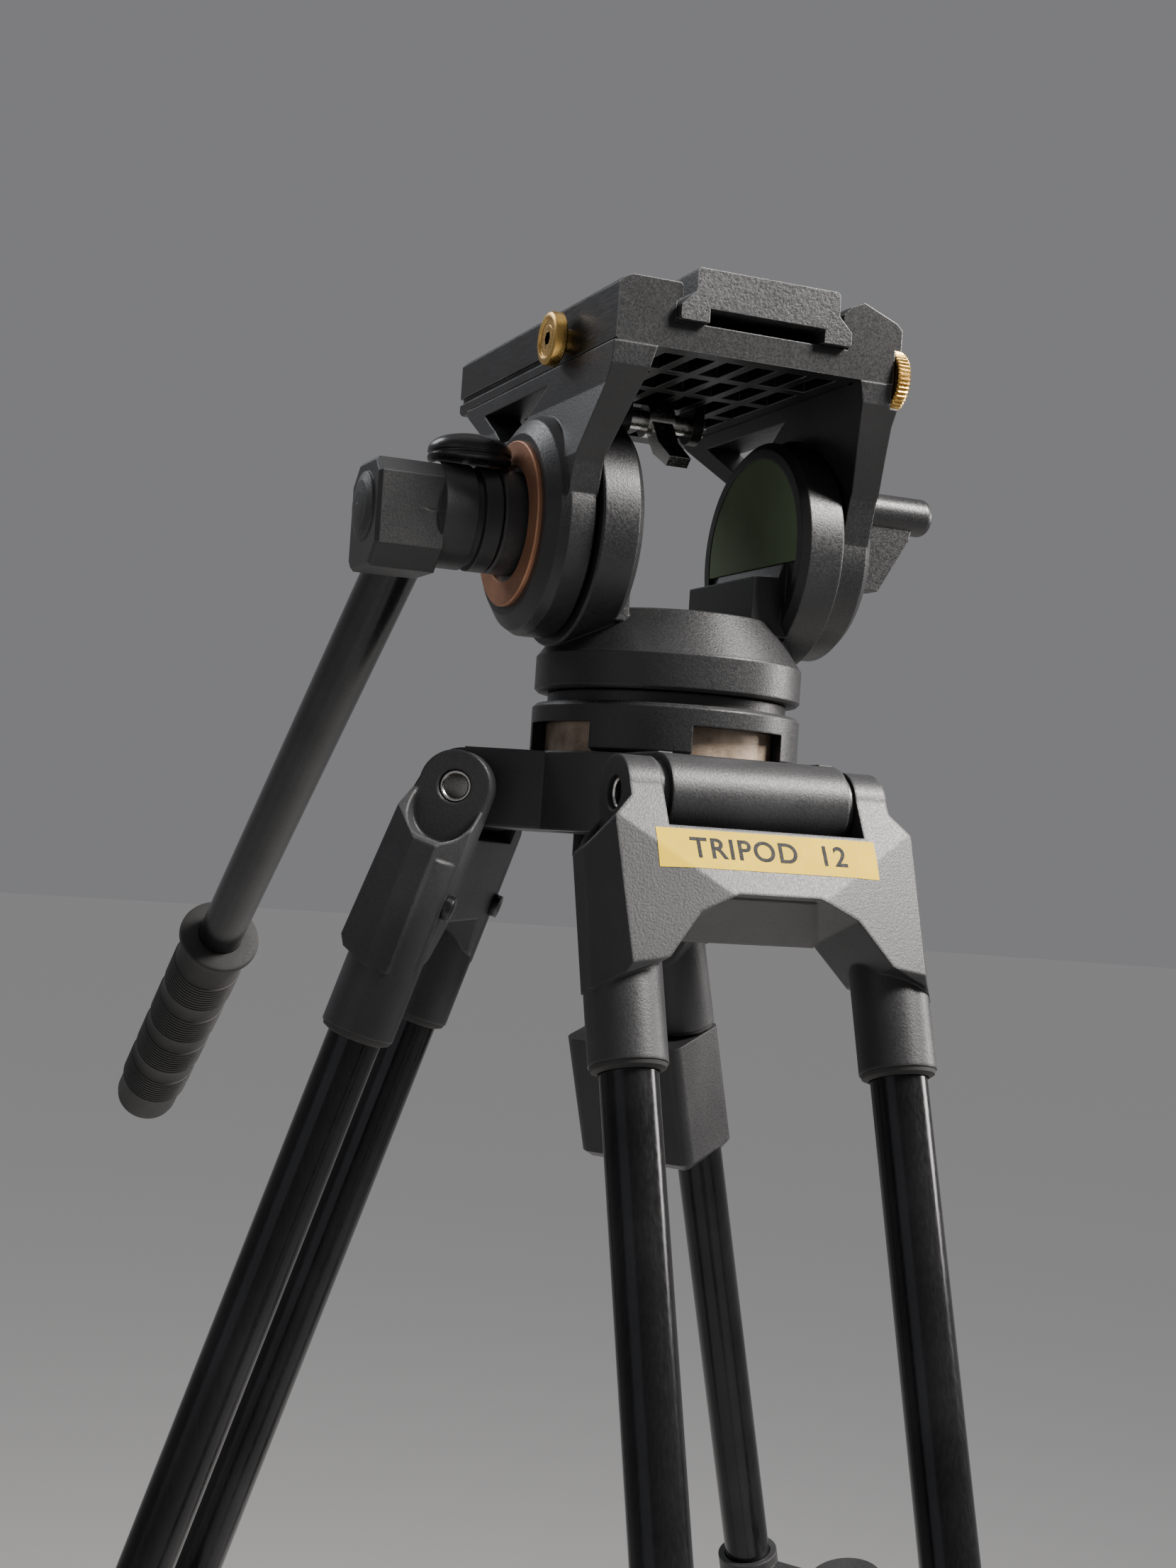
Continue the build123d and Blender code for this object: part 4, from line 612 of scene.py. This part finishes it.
# ------------------------------------------------------------------ platform
# An aluminium extrusion with two rails, anodised black. Fine die lines run from front to back, and
# its edges are rubbed bright.
platform_black = coated("platform_black", (0.007, 0.007, 0.0075), (0.016, 0.016, 0.017), 0.34, 0.6 * mm,
                        0.012 * mm, metallic=0.2, stretch=(1, 0.08, 1), worn=(0.35, 0.35, 0.36), wear=0.9,
                        rounding=0.5 * mm)
paint(platform_black, "platform")

# ------------------------------------------------------------------ quick plate
# A cast plate with a coarse leather-like grain on every face, so that it shows wear as bright
# specks, and ribbed rubber strips on top.
plate_black = coated("plate_black", (0.018, 0.018, 0.019), (0.048, 0.048, 0.050), 0.36, 0.9 * mm, 0.15 * mm,
                     metallic=0.2, worn=(0.30, 0.30, 0.31), wear=0.8, rounding=0.5 * mm, speckle=0.12)
paint(plate_black, "quick_plate")
low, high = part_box("plate_pads")
strip_width = 15.0 * mm
strip_x = 14.5 * mm
strip_rib = 2.5 * mm
rib_depth = 0.5 * mm
pad_low, pad_high = low.z, high.z
for side, name in ((1, "right_pad"), (-1, "left_pad")):
    bm = bmesh.new()
    outline = [(low.y, pad_low), (low.y, pad_high - rib_depth)]
    ribs = int((high.y - low.y) / strip_rib)
    pitch = (high.y - low.y) / ribs
    for rib in range(ribs):
        start = low.y + pitch * rib
        outline += [(start + 0.15 * pitch, pad_high - rib_depth), (start + 0.3 * pitch, pad_high),
                    (start + 0.7 * pitch, pad_high), (start + 0.85 * pitch, pad_high - rib_depth)]
    outline += [(high.y, pad_high - rib_depth), (high.y, pad_low)]
    left_edge = side * strip_x - strip_width / 2
    verts = [bm.verts.new((left_edge, y, z)) for y, z in outline]
    section = bm.faces.new(verts)
    grown = bmesh.ops.extrude_face_region(bm, geom=[section])["geom"]
    far_side = [v for v in grown if isinstance(v, bmesh.types.BMVert)]
    bmesh.ops.translate(bm, vec=(strip_width, 0, 0), verts=far_side)
    finished(name, bm, Matrix.Identity(4), "quick_plate", "rubber_black", rubber_black, "plate_pads")

# ------------------------------------------------------------------ camera screw
# The quarter-inch steel screw that holds the camera, cut with twenty threads to the inch. Its head
# is plain and round, and its shank is turned down so that it stays in the plate.
low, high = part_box("camera_screw")
screw_centre = Vector(((low.x + high.x) / 2, (low.y + high.y) / 2, 0))
thread_pitch = 1.27 * mm
thread_radius = 3.175 * mm
thread_root = 2.5 * mm
thread_length = 6.7 * mm
shank_radius = 2.35 * mm
head_radius = (high.x - low.x) / 2
head_height = 3.5 * mm
edge = 0.3 * mm
thread_foot = high.z - low.z - thread_length
bm = bmesh.new()
turned(bm, [(0, 0), (0.95 * head_radius, 0), (head_radius, edge), (head_radius, head_height - edge),
            (0.95 * head_radius, head_height), (shank_radius, head_height), (shank_radius, thread_foot),
            (thread_root, thread_foot), (thread_root, high.z - low.z - edge),
            (0.8 * thread_root, high.z - low.z), (0, high.z - low.z)])
turns = int((thread_length - edge) / thread_pitch)
steps = 36
ridge_foot = thread_root * 0.98
ridge = [(ridge_foot, 0.0), (thread_radius, 0.42 * thread_pitch), (thread_radius, 0.55 * thread_pitch),
         (ridge_foot, 0.95 * thread_pitch)]
verts = [bm.verts.new((radius, 0, thread_foot + height)) for radius, height in ridge]
edges = [bm.edges.new(pair) for pair in zip(verts, verts[1:] + verts[:1])]
bmesh.ops.spin(bm, geom=verts + edges, cent=(0, 0, 0), axis=(0, 0, 1), dvec=(0, 0, thread_pitch / steps),
               angle=2 * math.pi * (turns - 1), steps=steps * (turns - 1), use_merge=False)
bmesh.ops.holes_fill(bm, edges=[e for e in bm.edges if e.is_boundary], sides=4)
finished("threaded_screw", bm, Matrix.Translation(screw_centre + Vector((0, 0, low.z))), "camera_screw",
         "bright_steel", bright_steel, "camera_screw")

# ------------------------------------------------------------------ brass dial
# The plate's clamping dial on the right. It is turned from brass and knurled on its rim, and its
# outer face is sunk inside a narrow border.
brass = coated("brass", (0.50, 0.30, 0.085), (0.68, 0.44, 0.14), 0.30, 0.6 * mm, 0.03 * mm, metallic=1.0,
               rounding=0.3 * mm, patch=0.008)
low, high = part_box("plate_dial")
dial_radius = (high.z - low.z) / 2
dial_thickness = 5.0 * mm
dial_place = Matrix.Translation((high.x - dial_thickness, (low.y + high.y) / 2, (low.z + high.z) / 2))
dial_place = dial_place @ Matrix.Rotation(math.pi / 2, 4, "Y")
knurls = 44
knurl_foot = 0.93
border = 0.24 * dial_radius
face_sink = 0.12 * dial_thickness
bm = bmesh.new()
rim = bmesh.ops.create_circle(bm, cap_ends=True, segments=2 * knurls, radius=dial_radius)["verts"]
for index, vert in enumerate(sorted(rim, key=lambda v: math.atan2(v.co.y, v.co.x))):
    if index % 2:
        vert.co *= knurl_foot
levels = ((0.0, 0.95), (0.1, 1.0), (0.8, 1.0), (0.93, 0.94))
base_face = bm.faces[:][0]
bmesh.ops.scale(bm, vec=(levels[0][1], levels[0][1], 1), verts=rim)
current = [base_face]
for (before, small), (after, large) in zip(levels, levels[1:]):
    grown = bmesh.ops.extrude_face_region(bm, geom=current)["geom"]
    moved = [v for v in grown if isinstance(v, bmesh.types.BMVert)]
    bmesh.ops.translate(bm, vec=(0, 0, (after - before) * dial_thickness), verts=moved)
    bmesh.ops.scale(bm, vec=(large / small, large / small, 1), verts=moved)
    current = [f for f in grown if isinstance(f, bmesh.types.BMFace)]
bmesh.ops.inset_region(bm, faces=current, thickness=border, depth=0.0)
bmesh.ops.translate(bm, vec=(0, 0, -face_sink), verts=list({v for f in current for v in f.verts}))
finished("knurled_dial", bm, dial_place, "plate_dial", "brass", brass, "plate_dial", smooth=40.0)

# ------------------------------------------------------------------ brass button
# The plate's safety catch on the left. It is a button turned from brass, with a rounded rim, a sunk
# face and a hex socket in its middle.
low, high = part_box("plate_button")
button_radius = (high.z - low.z) / 2
button_thickness = 4.5 * mm
socket_radius = 0.36 * button_radius
stem_radius = 4.0 * mm
stem_length = 6.0 * mm
button_place = Matrix.Translation((low.x + button_thickness, (low.y + high.y) / 2, (low.z + high.z) / 2))
button_place = button_place @ Matrix.Rotation(-math.pi / 2, 4, "Y")
bm = bmesh.new()
turned(bm, [(socket_radius, 0.5 * button_thickness), (socket_radius, -0.01 * button_thickness),
            (0.94 * button_radius, 0.0), (button_radius, 0.1 * button_thickness),
            (button_radius, 0.72 * button_thickness), (0.96 * button_radius, 0.9 * button_thickness),
            (0.86 * button_radius, button_thickness), (0.74 * button_radius, 0.98 * button_thickness),
            (0.68 * button_radius, 0.86 * button_thickness), (0.46 * button_radius, 0.86 * button_thickness)])
cap_screw(bm, 0.47 * button_radius, 0.5 * button_thickness,
          Matrix.Translation((0, 0, 0.38 * button_thickness)))
bmesh.ops.create_cone(bm, cap_ends=True, segments=40, radius1=stem_radius, radius2=stem_radius,
                      depth=stem_length, matrix=Matrix.Translation((0, 0, -stem_length / 2)))
finished("turned_button", bm, button_place, "plate_button", "brass", brass, "plate_button")

# ------------------------------------------------------------------ release lever and tool case
# A bright steel shaft with its finger lever under the platform, and the small moulded case that
# is clipped to one tube of the right leg.
paint(bright_steel, "release_lever")
paint(moulded_black, "tool_case")
